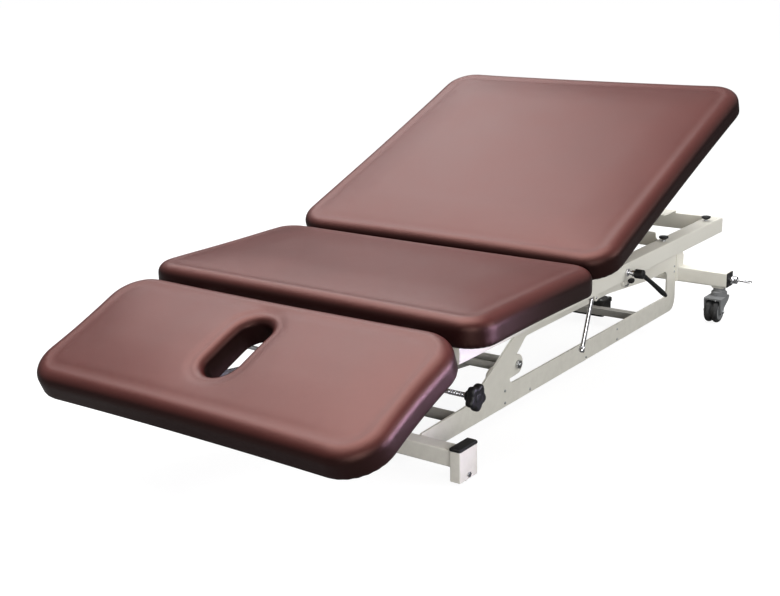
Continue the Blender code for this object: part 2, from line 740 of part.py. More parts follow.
def build_stays(root):
    """Slotted bars from the head frame's pins over the clamp rod; the slot covers the tilt range."""
    pin = Vector(STAY_PIN)
    clamp = Vector(CLAMP_ROD)
    along = (clamp - pin).normalized()
    across = Vector((-along.y, along.x))
    opening = math.atan2(CLAMP_ROD_DROP, CLAMP_ROD_SETBACK)
    rise = math.atan2(STAY_LUG_DROP, STAY_LUG_STATION)

    def span(tilt):
        return 2 * STAY_REACH * math.sin((math.pi - opening - rise + tilt) / 2)

    shortest = span(-HEAD_DOWN_LIMIT)
    longest = span(HEAD_UP_LIMIT)
    slot_r = CLAMP_ROD_R + 2 * RUN

    def at(distance, offset=0.0):
        point = pin + along * distance + across * offset
        return (point.x, point.y)

    bar = link(at(0.0), at(longest + 0.018), STAY_WIDTH / 2, STAY_WIDTH / 2 * 0.999)
    slot = link(at(shortest - 0.002), at(longest + 0.002), slot_r, slot_r * 0.999)
    hole = circle(STAY_PIN, bore(STAY_PIN_R, SMALL_ROUND), SMALL_ROUND)
    for side_name, side in SIDES:
        y0 = side * (STAY_Y - STAY_THICKNESS / 2)
        y1 = side * (STAY_Y + STAY_THICKNESS / 2)
        node("head_stay_" + side_name, "zinc", [extruded([bar, slot, hole], y0, y1)],
             pivot=(STAY_PIN[0], side * STAY_Y, STAY_PIN[1]), parent=root)


def build_back(root):
    hinge = empty("back_section", (BACK_HINGE_X, 0.0, HINGE_Z), -BACK_TILT, root)
    centre = BACK_GAP / 2 + BACK_LENGTH / 2
    cushion_section("back", BACK_LENGTH, BACK_CORNER, centre, hinge, -HINGE_RISE)
    section_frame("back_frame", 1.0, hinge, BACK_STRAP_LENGTH, GAS_LUG_STATION, GAS_LUG_DROP,
                  GAS_EAR_Y, GAS_PIN_R, gas_lugs)
    build_gas_spring(root)


def build_gas_spring(root):
    """Cylinder on the frame's anchor, rod on the back frame's pin, both on one line."""
    anchor = Vector((GAS_ANCHOR[0], 0.0, GAS_ANCHOR[1]))
    pin = Vector((GAS_PIN[0], 0.0, GAS_PIN[1]))
    along = (pin - anchor).normalized()
    half = GAS_EYE_WIDTH / 2
    open_end = anchor + along * GAS_CYLINDER_LENGTH

    def eye(point, way):
        """Flat eye with its hole, its shank running the given way along the spring."""
        shank = (point.x + way * along.x * 0.020, point.z + way * along.z * 0.020)
        spot = (point.x, point.z)
        hole = circle(spot, bore(GAS_PIN_R, SMALL_ROUND), SMALL_ROUND)
        return extruded([link(spot, shank, GAS_EYE_R, GAS_ROD_R * 0.9), hole], -half, half)

    rod_bore = rod(anchor + along * 0.026, open_end + along * 0.01, bore(GAS_ROD_R, ROUND))
    node("gas_spring_cylinder", "black_plastic",
         [rod(anchor + along * 0.0125, open_end, GAS_CYLINDER_R), eye(anchor, 1.0)], [rod_bore],
         pivot=anchor, parent=root)
    node("gas_spring_rod", "chrome",
         [rod(pin - along * 0.0125, pin - along * GAS_ROD_LENGTH, GAS_ROD_R), eye(pin, -1.0)],
         pivot=pin, parent=root)


# Upper frame


def cross_tube(x):
    """Square tube between the rails under the mid board, with its bore as the cut."""
    outer = block(x, x + CROSS_SIZE, -CROSS_HALF_Y, CROSS_HALF_Y, CROSS_BOTTOM_Z, FRAME_TOP_Z)
    inner = block(x + CROSS_WALL, x + CROSS_SIZE - CROSS_WALL, -RAIL_OUTER_Y, RAIL_OUTER_Y,
                  CROSS_BOTTOM_Z + CROSS_WALL, FRAME_TOP_Z - CROSS_WALL)
    return outer, inner


def hangers(tube_x, pivot):
    """Hanging plates beside the arms, each with the pin that an arm's upper end turns on."""
    solids = []
    foot = (tube_x + CROSS_SIZE / 2, CROSS_BOTTOM_Z - OVERLAP)
    arm_out = ARM_Y + ARM_THICKNESS / 2
    for _, side in SIDES:
        face = side * (arm_out + RUN)
        back = face + side * LUG_THICKNESS
        solids.append(extruded([link(foot, pivot, HANGER_R * 0.98, HANGER_R)], face, back))
        inner = side * (ARM_Y - ARM_THICKNESS / 2 - 0.004)
        solids.append(cross_rod(pivot, inner, back, ARM_PIN_R))
    return solids


def foot_plates(tube_x, bottom):
    """Gussets that tie the hanging plates to the tube's underside."""
    arm_out = ARM_Y + ARM_THICKNESS / 2 + RUN
    solids = []
    for _, side in SIDES:
        y0 = side * (arm_out - 0.004)
        y1 = side * (arm_out + LUG_THICKNESS + 0.004)
        solids.append(block(tube_x, tube_x + CROSS_SIZE, y0, y1, CROSS_BOTTOM_Z - bottom,
                            CROSS_BOTTOM_Z + OVERLAP))
    return solids


def build_front_cross(root):
    tube, tube_bore = cross_tube(FRONT_CROSS_X)
    solids = [tube] + hangers(FRONT_CROSS_X, FRONT_UPPER_PIVOT) + foot_plates(FRONT_CROSS_X, 0.008)
    foot = (FRONT_CROSS_X + CROSS_SIZE / 2, CROSS_BOTTOM_Z - OVERLAP)
    for _, side in SIDES:
        y0 = side * ROD_BRACKET_Y
        y1 = y0 + side * LUG_THICKNESS
        solids.append(extruded([link(foot, CLAMP_ROD, 0.018, 0.014)], y0, y1))
        solids.append(block(FRONT_CROSS_X, FRONT_CROSS_X + CROSS_SIZE, y0 - side * 0.002, y1 + side * 0.002,
                            CROSS_BOTTOM_Z - 0.008, CROSS_BOTTOM_Z + OVERLAP))
        solids += hinge_lug(HEAD_HINGE, FRONT_CROSS_X + OVERLAP, *lug_span(side, False))
    cuts = [tube_bore, hinge_bore(HEAD_HINGE, RAIL_OUTER_Y)]
    rod_hole = bore(CLAMP_ROD_R, SMALL_ROUND)
    cuts.append(cross_rod(CLAMP_ROD, -RAIL_OUTER_Y, RAIL_OUTER_Y, rod_hole, SMALL_ROUND))
    node("front_cross_member", "cream_paint", solids, cuts, parent=root)


def build_hinge_cross(root):
    tube, tube_bore = cross_tube(HINGE_CROSS_X)
    solids = [tube] + hangers(HINGE_CROSS_X, REAR_UPPER_PIVOT) + foot_plates(HINGE_CROSS_X, 0.008)
    foot = (HINGE_CROSS_X + CROSS_SIZE / 2, CROSS_BOTTOM_Z - OVERLAP)
    half = GAS_EAR_Y
    for _, side in SIDES:
        y0 = side * half
        y1 = y0 + side * EAR_THICKNESS
        solids.append(extruded([link(foot, GAS_ANCHOR, 0.018, 0.012)], y0, y1))
        solids.append(block(HINGE_CROSS_X, HINGE_CROSS_X + CROSS_SIZE, y0, y1 + side * 0.002,
                            CROSS_BOTTOM_Z - 0.008, CROSS_BOTTOM_Z + OVERLAP))
        solids += hinge_lug(BACK_HINGE, HINGE_CROSS_X + CROSS_SIZE - OVERLAP, *lug_span(side, False))
    reach = half + EAR_THICKNESS
    solids.append(cross_rod(GAS_ANCHOR, -reach, reach, GAS_PIN_R, SMALL_ROUND))
    cuts = [tube_bore, hinge_bore(BACK_HINGE, RAIL_OUTER_Y)]
    node("hinge_cross_member", "cream_paint", solids, cuts, parent=root)


RELEASE_PIVOT = (BACK_HINGE_X + RELEASE_FROM_BACK_HINGE, RAIL_BOTTOM_Z - RELEASE_DROP)


def release_ears():
    """Two ears under the right rail that hold the release lever's pin."""
    solids = []
    for side in (-1.0, 1.0):
        y0 = RELEASE_Y + side * (RELEASE_EYE_WIDTH / 2 + RUN)
        y1 = y0 + side * 0.004
        outline = link((RELEASE_PIVOT[0], RAIL_BOTTOM_Z + 0.001), RELEASE_PIVOT, 0.0099, 0.010)
        solids.append(extruded([outline], y0, y1))
    hole = bore(RELEASE_PIN_R, SMALL_ROUND)
    return solids, cross_rod(RELEASE_PIVOT, RELEASE_Y - 0.02, RELEASE_Y + 0.02, hole, SMALL_ROUND)


def build_rails(root):
    for side_name, side in SIDES:
        y_out = side * RAIL_OUTER_Y
        y_in = side * RAIL_INNER_Y
        section = rounded(y_in, y_out, RAIL_BOTTOM_Z, RAIL_TOP_Z, TUBE_EDGE)
        solids = [extruded([section], RAIL_FRONT_X, RAIL_REAR_X, "X")]
        cuts = []
        if side_name == "right":
            ears, pin_hole = release_ears()
            solids += ears
            cuts.append(pin_hole)
        wall = side * RAIL_WALL
        cuts.append(block(RAIL_FRONT_X - 0.01, RAIL_REAR_X - RAIL_WALL, y_in + wall, y_out - wall,
                          RAIL_BOTTOM_Z + RAIL_WALL, RAIL_TOP_Z - RAIL_WALL))
        node("side_rail_" + side_name, "cream_paint", solids, cuts, parent=root)


def build_rear_cross(root):
    """Rear plate between the rails with a raised lip folded forward, and a notched plate ahead of it."""
    x1 = RAIL_REAR_X - REAR_PLATE_SETBACK
    x0 = x1 - REAR_PLATE_THICKNESS
    lip_top = RAIL_TOP_Z + REAR_LIP_RISE
    lip_low = lip_top - REAR_LIP_THICKNESS
    solids = [block(x0, x1, -CROSS_HALF_Y, CROSS_HALF_Y, RAIL_BOTTOM_Z, RAIL_TOP_Z),
              block(x0, x1, -REAR_LIP_HALF, REAR_LIP_HALF, RAIL_TOP_Z - OVERLAP, lip_top),
              block(x0 - REAR_LIP_DEPTH, x0 + OVERLAP, -REAR_LIP_HALF, REAR_LIP_HALF, lip_low, lip_top)]
    node("rear_cross_frame", "cream_paint", solids, parent=root)
    low = RAIL_BOTTOM_Z + PLATE_LIFT
    shoulder = RAIL_TOP_Z - REST_NOTCH_DROP
    inner = CROSS_HALF_Y - REST_NOTCH_WIDTH
    outline = filleted([(-CROSS_HALF_Y, low, 0.0), (CROSS_HALF_Y, low, 0.0), (CROSS_HALF_Y, shoulder, 0.0),
                        (inner, shoulder, REST_NOTCH_ROUND), (inner, RAIL_TOP_Z, REST_NOTCH_ROUND / 2),
                        (-inner, RAIL_TOP_Z, REST_NOTCH_ROUND / 2), (-inner, shoulder, REST_NOTCH_ROUND),
                        (-CROSS_HALF_Y, shoulder, 0.0)])
    rest_x = RAIL_REAR_X - REST_PLATE_FROM_REAR
    node("back_rest_plate", "cream_paint", [extruded([outline], rest_x, rest_x + REAR_PLATE_THICKNESS, "X")],
         parent=root)


def build_bumpers(root):
    base = RAIL_TOP_Z + SEAT
    height = PAD_BOTTOM_Z - SEAT - base
    profile = [(0, 0), (BUMPER_STEM_R, 0), (BUMPER_STEM_R, 0.32 * height), (0.62 * BUMPER_R, 0.40 * height),
               (0.94 * BUMPER_R, 0.62 * height), (BUMPER_R, 0.84 * height), (0.86 * BUMPER_R, height), (0, height)]
    for side_name, side in SIDES:
        for place, back in zip(("rear", "front"), BUMPER_FROM_REAR):
            spot = (RAIL_REAR_X - back, side * RAIL_MID_Y, base)
            node("bumper_%s_%s" % (place, side_name), "black_plastic",
                 [turned(profile, spot, (0, 0, 1), SMALL_ROUND)], parent=root)


def build_rods_and_knobs(root):
    for name, hinge in (("head_hinge_rod", HEAD_HINGE), ("back_hinge_rod", BACK_HINGE)):
        node(name, "zinc", [cross_rod(hinge, -HINGE_ROD_HALF, HINGE_ROD_HALF, HINGE_ROD_R, SMALL_ROUND)],
             parent=root)
    collar = STAY_Y + STAY_THICKNESS / 2 + RUN
    half = [(CLAMP_ROD_R, collar), (ROD_COLLAR_R, collar), (ROD_COLLAR_R, collar + ROD_COLLAR_WIDTH),
            (CLAMP_ROD_R, collar + ROD_COLLAR_WIDTH), (CLAMP_ROD_R, KNOB_Y), (0, KNOB_Y)]
    profile = [(radius, -y) for radius, y in reversed(half)] + half
    node("clamp_rod", "chrome", [turned(profile, (CLAMP_ROD[0], 0.0, CLAMP_ROD[1]), (0, 1, 0), SMALL_ROUND)],
         parent=root)
    lobes = [KNOB_R + KNOB_LOBE * math.cos(KNOB_LOBES * a * math.pi / 30 + math.pi / 2) for a in range(60)]
    for side_name, side in SIDES:
        def star(scale):
            return [(CLAMP_ROD[0] + scale * r * math.cos(i * math.pi / 30),
                     CLAMP_ROD[1] + scale * r * math.sin(i * math.pi / 30)) for i, r in enumerate(lobes)]
        face = KNOB_Y + KNOB_THICKNESS / 2
        levels = [(0.90, face - KNOB_THICKNESS), (1.0, face - KNOB_THICKNESS + 0.004), (1.0, face - 0.005),
                  (0.86, face)]
        rings = [[(x, side * y, z) for x, z in star(scale)] for scale, y in levels]
        hub = cross_rod(CLAMP_ROD, side * (face - KNOB_THICKNESS - 0.014), side * (face - 0.006), KNOB_HUB_R,
                        SMALL_ROUND)
        socket = cross_rod(CLAMP_ROD, side * (KNOB_Y - 0.05), side * (KNOB_Y + RUN),
                           bore(CLAMP_ROD_R, SMALL_ROUND), SMALL_ROUND)
        node("star_knob_" + side_name, "black_plastic", [ring_stack(rings), hub], [socket],
             pivot=(CLAMP_ROD[0], side * KNOB_Y, CLAMP_ROD[1]), parent=root)


CLAMP = (BACK_HINGE_X + CLAMP_FROM_BACK_HINGE, RAIL_BOTTOM_Z + RAIL_SIZE / 2)


def build_clamp_levers(root):
    for side_name, side in SIDES:
        seat = RAIL_OUTER_Y + SEAT
        stud_end = seat + CLAMP_STUD_LENGTH
        flange = CLAMP_STUD_R + 0.005
        nut = CLAMP_STUD_R + 0.003
        nut_end = CLAMP_STUD_LENGTH - RUN
        tip = CLAMP_STUD_LENGTH + 0.012
        profile = [(0, 0), (flange, 0), (flange, 0.006), (CLAMP_STUD_R, 0.006), (CLAMP_STUD_R, nut_end - 0.008),
                   (nut, nut_end - 0.008), (nut, nut_end), (CLAMP_STUD_R, nut_end), (CLAMP_STUD_R, tip), (0, tip)]
        stud = turned(profile, (CLAMP[0], side * seat, CLAMP[1]), (0, side, 0), SMALL_ROUND)
        node("clamp_stud_" + side_name, "chrome", [stud], parent=root)
        hub_end = stud_end + CLAMP_HUB_LENGTH
        root_y = side * (hub_end - 0.010)
        start = Vector((CLAMP[0], root_y, CLAMP[1]))
        elbow = start + Vector((0.018, 0.0, -0.016))
        tip = start + Vector((CLAMP_ARM_BACK, side * CLAMP_ARM_OUT, -CLAMP_ARM_DOWN))
        run = tip - elbow
        grip = [(0, 0), (CLAMP_ARM_R * 0.9, 0), (CLAMP_ARM_R, 0.75 * run.length),
                (CLAMP_ARM_R * 1.15, 0.95 * run.length), (CLAMP_ARM_R * 0.7, run.length), (0, run.length)]
        lever = [cross_rod(CLAMP, side * stud_end, side * hub_end, CLAMP_HUB_R),
                 rod(start, elbow + (elbow - start) * 0.25, CLAMP_ARM_R * 1.05, SMALL_ROUND),
                 turned(grip, elbow, run, SMALL_ROUND)]
        socket = cross_rod(CLAMP, side * (stud_end - 0.01), side * (stud_end + 0.012 + RUN),
                           bore(CLAMP_STUD_R, SMALL_ROUND), SMALL_ROUND)
        node("clamp_lever_" + side_name, "black_plastic", lever, [socket],
             pivot=(CLAMP[0], side * hub_end, CLAMP[1]), parent=root)


def build_release_lever(root):
    """Chrome rod hanging from the ears under the right rail, with a domed end."""
    pivot = Vector((RELEASE_PIVOT[0], RELEASE_Y, RELEASE_PIVOT[1]))
    along = Vector((-math.sin(RELEASE_LEAN), 0.0, -math.cos(RELEASE_LEAN)))
    half = RELEASE_EYE_WIDTH / 2
    dome = [(0, 0), (RELEASE_R, 0), (RELEASE_R, RELEASE_LENGTH - 0.005), (0.7 * RELEASE_R, RELEASE_LENGTH - 0.0015),
            (0, RELEASE_LENGTH)]
    pin_half = half + RUN + 0.0045
    solids = [cross_rod(RELEASE_PIVOT, RELEASE_Y - half, RELEASE_Y + half, RELEASE_EYE_R, SMALL_ROUND),
              turned(dome, pivot, along, SMALL_ROUND),
              cross_rod(RELEASE_PIVOT, RELEASE_Y - pin_half, RELEASE_Y + pin_half, RELEASE_PIN_R, SMALL_ROUND)]
    node("release_lever", "chrome", solids, pivot=pivot, parent=root)


def build_upper_frame(root):
    build_rails(root)
    build_front_cross(root)
    build_hinge_cross(root)
    build_rear_cross(root)
    build_bumpers(root)
    cushion_section("mid", MID_LENGTH, MID_CORNER, MID_FRONT_X + MID_LENGTH / 2, root, PAD_BOTTOM_Z)
    build_rods_and_knobs(root)
    build_clamp_levers(root)
    build_release_lever(root)


# Lift arms and actuator


def arm_pair(pivot, upper, half_tube):
    """Torque tube with two arms welded to it, and the arms' bores."""
    solids = [cross_rod(pivot, -half_tube, half_tube, TORQUE_TUBE_R)]
    cuts = [cross_rod(pivot, -half_tube - 0.01, half_tube + 0.01, bore(SHAFT_R))]
    for _, side in SIDES:
        y0 = side * (ARM_Y - ARM_THICKNESS / 2)
        y1 = side * (ARM_Y + ARM_THICKNESS / 2)
        outline = link(pivot, upper, ARM_HEIGHT / 2, ARM_HEIGHT / 2 * 0.9)
        hole = circle(upper, bore(ARM_PIN_R))
        solids.append(extruded([outline, hole], y0, y1))
    return solids, cuts


LUG_INNER_Y = PLATE_INNER_Y - BASE_LUG_THICKNESS
FRONT_TUBE_HALF = LUG_INNER_Y - RUN
REAR_TUBE_HALF = PLATE_INNER_Y - RUN


def build_arms(root):
    solids, cuts = arm_pair(FRONT_PIVOT, FRONT_UPPER_PIVOT, FRONT_TUBE_HALF)
    share = ARM_TIE_FROM_PIVOT / ARM_LENGTH
    tie = (FRONT_PIVOT[0] + ARM_REACH[0] * share, FRONT_PIVOT[1] + ARM_REACH[1] * share)
    solids.append(cross_rod(tie, -FRONT_TUBE_HALF, FRONT_TUBE_HALF, ARM_TIE_R, SMALL_ROUND))
    node("front_lift_arms", "grey_paint", solids, cuts, pivot=(FRONT_PIVOT[0], 0.0, FRONT_PIVOT[1]), parent=root)
    solids, cuts = arm_pair(REAR_PIVOT, REAR_UPPER_PIVOT, REAR_TUBE_HALF)
    inner = ROD_EYE_WIDTH / 2 + RUN + 0.0007
    for _, side in SIDES:
        y0 = ACTUATOR_Y + side * inner
        y1 = y0 + side * EAR_THICKNESS
        solids.append(extruded([link(REAR_PIVOT, CRANK_PIN, HANGER_R, 0.014)], y0, y1))
    reach = inner + EAR_THICKNESS
    solids.append(cross_rod(CRANK_PIN, ACTUATOR_Y - reach, ACTUATOR_Y + reach, CRANK_PIN_R, SMALL_ROUND))
    node("rear_lift_arms", "grey_paint", solids, cuts, pivot=(REAR_PIVOT[0], 0.0, REAR_PIVOT[1]), parent=root)


TRUNNION_EAR_IN = ACTUATOR_TUBE_R + 0.0025


def build_actuator(root):
    """Motor and tube on a trunnion, push rod on the crank's pin, both on one line."""
    trunnion = Vector((TRUNNION[0], ACTUATOR_Y, TRUNNION[1]))
    pin = Vector((CRANK_PIN[0], ACTUATOR_Y, CRANK_PIN[1]))
    along = (trunnion - pin).normalized()
    span = (trunnion - pin).length
    front = trunnion - along * ACTUATOR_TUBE_FORWARD
    gear = ACTUATOR_TUBE_FORWARD + 0.060
    motor = ACTUATOR_TUBE_FORWARD + 0.110
    end = ACTUATOR_TUBE_FORWARD + ACTUATOR_REAR
    profile = [(0, 0), (ACTUATOR_TUBE_R, 0), (ACTUATOR_TUBE_R, gear), (ACTUATOR_GEARBOX_R, gear),
               (ACTUATOR_GEARBOX_R, motor), (ACTUATOR_MOTOR_R, motor), (ACTUATOR_MOTOR_R, end - 0.006),
               (ACTUATOR_MOTOR_R - 0.006, end), (0, end)]
    solids = [turned(profile, front, along)]
    for _, side in SIDES:
        y0 = ACTUATOR_Y + side * (ACTUATOR_TUBE_R - 0.004)
        y1 = ACTUATOR_Y + side * (TRUNNION_EAR_IN + EAR_THICKNESS)
        solids.append(cross_rod(TRUNNION, y0, y1, TRUNNION_R, SMALL_ROUND))
    tube_bore = rod(front - along * 0.01, trunnion + along * 0.058, bore(ACTUATOR_ROD_R))
    node("actuator_body", "black_plastic", solids, [tube_bore], pivot=trunnion, parent=root)
    half = ROD_EYE_WIDTH / 2
    rod_solids = [cross_rod(CRANK_PIN, ACTUATOR_Y - half, ACTUATOR_Y + half, ROD_EYE_R),
                  rod(pin + along * 0.010, pin + along * (span + 0.045), ACTUATOR_ROD_R)]
    eye = cross_rod(CRANK_PIN, ACTUATOR_Y - 1.2 * half, ACTUATOR_Y + 1.2 * half,
                    bore(CRANK_PIN_R, SMALL_ROUND), SMALL_ROUND)
    node("actuator_rod", "chrome", rod_solids, [eye], pivot=pin, parent=root)


# Base


def plate_outline():
    """Side plate: low bar, front arm and diagonal, top strip, rear upright."""
    diagonal_foot = FRONT_PIVOT[0] - DIAGONAL_FOOT_FROM_PIVOT
    diagonal_top = FRONT_PIVOT[0] + DIAGONAL_TOP_FROM_PIVOT
    return filleted([
        (PLATE_FRONT_X, PLATE_BOTTOM_Z, 0.0),
        (PLATE_REAR_X, PLATE_BOTTOM_Z, 0.038),
        (PLATE_REAR_X, PLATE_TOP_Z, 0.012),
        (diagonal_top, PLATE_TOP_Z, 0.030),
        (diagonal_foot, PLATE_FRONT_ARM_Z + 0.006, 0.120),
        (PLATE_FRONT_X, PLATE_FRONT_ARM_Z, 0.0),
    ])


def window_outline():
    """Long window with rounded corners and the strip's belly at the rear pivot."""
    low = PLATE_BOTTOM_Z + PLATE_BAR_HEIGHT
    high = PLATE_TOP_Z - PLATE_STRIP_HEIGHT
    front = FRONT_PIVOT[0] - WINDOW_FRONT_FROM_PIVOT
    rear = PLATE_REAR_X - PLATE_UPRIGHT_WIDTH
    return filleted([
        (front, low, 0.020),
        (rear, low, 0.020),
        (rear, high - PLATE_BELLY_DROP, 0.028),
        (REAR_PIVOT[0] + BELLY_END_FROM_PIVOT, high - PLATE_BELLY_DROP, BELLY_END_ROUND),
        (REAR_PIVOT[0] - BELLY_START_FROM_PIVOT, high, BELLY_START_ROUND),
        (front + WINDOW_FRONT_RAKE, high, 0.026),
        (front, low + WINDOW_FRONT_RISE, 0.030),
    ])


def build_side_plates(root):
    for side_name, side in SIDES:
        shaft_hole = circle(REAR_PIVOT, bore(SHAFT_R))
        plate = extruded([plate_outline(), window_outline(), shaft_hole], side * PLATE_INNER_Y,
                         side * PLATE_OUTER_Y)
        lug_root = (FRONT_PIVOT[0] - BASE_LUG_REACH, FRONT_PIVOT[1] - 0.005)
        lug = extruded([link(lug_root, FRONT_PIVOT, LUG_R, LUG_R * 0.999)], side * LUG_INNER_Y,
                       side * (PLATE_INNER_Y + OVERLAP))
        cut = cross_rod(FRONT_PIVOT, side * (LUG_INNER_Y - 0.01), side * (PLATE_OUTER_Y + 0.01), bore(SHAFT_R))
        node("base_plate_" + side_name, "cream_paint", [plate, lug], [cut], parent=root)


def build_shafts(root):
    for name, pivot, seat in (("front_pivot_shaft", FRONT_PIVOT, PLATE_INNER_Y + OVERLAP + RUN),
                              ("rear_pivot_shaft", REAR_PIVOT, PLATE_OUTER_Y + RUN)):
        end = seat + SHAFT_HEAD_LENGTH
        profile = [(0, -end), (SHAFT_HEAD_R, -end), (SHAFT_HEAD_R, -seat), (SHAFT_R, -seat), (SHAFT_R, seat),
                   (SHAFT_HEAD_R, seat), (SHAFT_HEAD_R, end), (0, end)]
        node(name, "zinc", [turned(profile, (pivot[0], 0.0, pivot[1]), (0, 1, 0))], parent=root)


ROLLER = (FRONT_BEAM_X - POST_FORWARD + POST_LENGTH / 2, ROLLER_R)
ROLLER_Y = POST_OUTER_Y - POST_WIDTH / 2
POST_TOP_Z = POST_BOTTOM_Z + POST_HEIGHT


def build_front_foot(root):
    """Front beam with a post welded to each end; rollers, axle bolts and caps."""
    beam_half = POST_OUTER_Y - POST_WIDTH + OVERLAP
    beam_top = FRONT_BEAM_Z + FRONT_BEAM_SIZE
    x1 = FRONT_BEAM_X + FRONT_BEAM_SIZE
    section = rounded(FRONT_BEAM_X, x1, FRONT_BEAM_Z, beam_top, TUBE_EDGE)
    solids = [extruded([section], -beam_half, beam_half)]
    cuts = [block(FRONT_BEAM_X + BEAM_WALL, x1 - BEAM_WALL, -beam_half + 0.003, beam_half - 0.003,
                  FRONT_BEAM_Z + BEAM_WALL, beam_top - BEAM_WALL)]
    vent = (FRONT_BEAM_X + 0.4 * FRONT_BEAM_SIZE, 0.2 * beam_half)
    cuts.append(rod((*vent, FRONT_BEAM_Z - 0.01), (*vent, FRONT_BEAM_Z + 2 * BEAM_WALL), 0.005, SMALL_ROUND))
    post_x = FRONT_BEAM_X - POST_FORWARD
    slot_half = ROLLER_WIDTH / 2 + 0.001
    slot_r = ROLLER_R + 0.003
    for side_name, side in SIDES:
        y0 = side * (POST_OUTER_Y - POST_WIDTH)
        around = rounded(post_x, post_x + POST_LENGTH, y0, side * POST_OUTER_Y, POST_EDGE)
        solids.append(extruded([around], POST_BOTTOM_Z, POST_TOP_Z, "Z"))
        pocket = link((ROLLER[0], POST_BOTTOM_Z - 0.02), (ROLLER[0], ROLLER[1] + 0.004), slot_r, slot_r * 0.999)
        y_mid = side * ROLLER_Y
        cuts.append(extruded([pocket], y_mid - slot_half, y_mid + slot_half))
        hole = bore(ROLLER_AXLE_R, SMALL_ROUND)
        cuts.append(cross_rod(ROLLER, y0 - side * 0.01, side * (POST_OUTER_Y + 0.01), hole, SMALL_ROUND))
        half = ROLLER_WIDTH / 2
        wheel = [(0, -half), (ROLLER_R - 0.003, -half), (ROLLER_R, -half + 0.003), (ROLLER_R, half - 0.003),
                 (ROLLER_R - 0.003, half), (0, half)]
        node("front_roller_" + side_name, "tyre_rubber",
             [turned(wheel, (ROLLER[0], y_mid, ROLLER[1]), (0, 1, 0), 24)],
             [cross_rod(ROLLER, y_mid - 2 * half, y_mid + 2 * half, hole, SMALL_ROUND)],
             pivot=(ROLLER[0], y_mid, ROLLER[1]), parent=root)
        head = POST_OUTER_Y + SEAT
        axle = [(0, 0), (ROLLER_AXLE_R, 0), (ROLLER_AXLE_R, head - POST_OUTER_Y + POST_WIDTH),
                (ROLLER_AXLE_R + 0.003, head - POST_OUTER_Y + POST_WIDTH),
                (ROLLER_AXLE_R + 0.003, head - POST_OUTER_Y + POST_WIDTH + 0.003),
                (0, head - POST_OUTER_Y + POST_WIDTH + 0.003)]
        node("roller_axle_" + side_name, "zinc",
             [turned(axle, (ROLLER[0], y0, ROLLER[1]), (0, side, 0), SMALL_ROUND)], parent=root)
        rings = []
        for grow, rise in ((CAP_LIP, 0.0), (CAP_LIP, 0.6 * CAP_HEIGHT), (-CAP_CHAMFER, CAP_HEIGHT)):
            edge = rounded(post_x - grow, post_x + POST_LENGTH + grow, y0 - side * grow,
                           side * (POST_OUTER_Y + grow), POST_EDGE + grow)
            rings.append([(x, y, POST_TOP_Z + SEAT + rise) for x, y in edge])
        node("post_cap_" + side_name, "black_plastic", [ring_stack(rings)], parent=root)
    node("front_foot_beam", "cream_paint", solids, cuts, parent=root)


PLUNGER_Z = REAR_BEAM_Z + REAR_BEAM_SIZE / 2
PLUNGER_SEAT_Y = REAR_BEAM_END_Y + SEAT + PLUG_THICKNESS


def build_rear_foot(root):
    """Rear beam with gussets to the side plates and caster pads; end plugs and plungers."""
    x1 = REAR_BEAM_X + REAR_BEAM_SIZE
    top = REAR_BEAM_Z + REAR_BEAM_SIZE
    section = rounded(REAR_BEAM_X, x1, REAR_BEAM_Z, top, TUBE_EDGE)
    solids = [extruded([section], -REAR_BEAM_END_Y, REAR_BEAM_END_Y)]
    cuts = [block(REAR_BEAM_X + BEAM_WALL, x1 - BEAM_WALL, -REAR_BEAM_END_Y - 0.01, REAR_BEAM_END_Y + 0.01,
                  REAR_BEAM_Z + BEAM_WALL, top - BEAM_WALL)]
    gusset_x = PLATE_REAR_X + SEAT
    gusset = [(gusset_x, REAR_BEAM_Z + 0.004), (REAR_BEAM_X + TUBE_EDGE, REAR_BEAM_Z + 0.004),
              (REAR_BEAM_X + TUBE_EDGE, top - TUBE_EDGE), (gusset_x + GUSSET_LENGTH, top - TUBE_EDGE),
              (gusset_x + GUSSET_LENGTH, top + GUSSET_RISE - 0.014), (gusset_x + GUSSET_LENGTH - 0.012, top + GUSSET_RISE),
              (gusset_x, top + GUSSET_RISE)]
    pad = REAR_BEAM_SIZE / 2 - TUBE_EDGE
    pad_low = REAR_BEAM_Z - PAD_UNDER_BEAM
    for side_name, side in SIDES:
        solids.append(extruded([gusset], side * (PLATE_INNER_Y - 0.003), side * (PLATE_OUTER_Y + 0.003)))
        solids.append(block(CASTER_X - pad, CASTER_X + pad, side * CASTER_Y - pad, side * CASTER_Y + pad,
                            pad_low, REAR_BEAM_Z + OVERLAP))
        spot = (CASTER_X, side * CASTER_Y)
        cuts.append(rod((*spot, pad_low - 0.01), (*spot, REAR_BEAM_Z + 2 * BEAM_WALL),
                        bore(CASTER_STEM_R, SMALL_ROUND), SMALL_ROUND))
        build_plug(root, side_name, side)
        build_plunger(root, side_name, side)
        build_caster(root, side_name, side, pad_low)
    node("rear_foot_beam", "cream_paint", solids, cuts, parent=root)


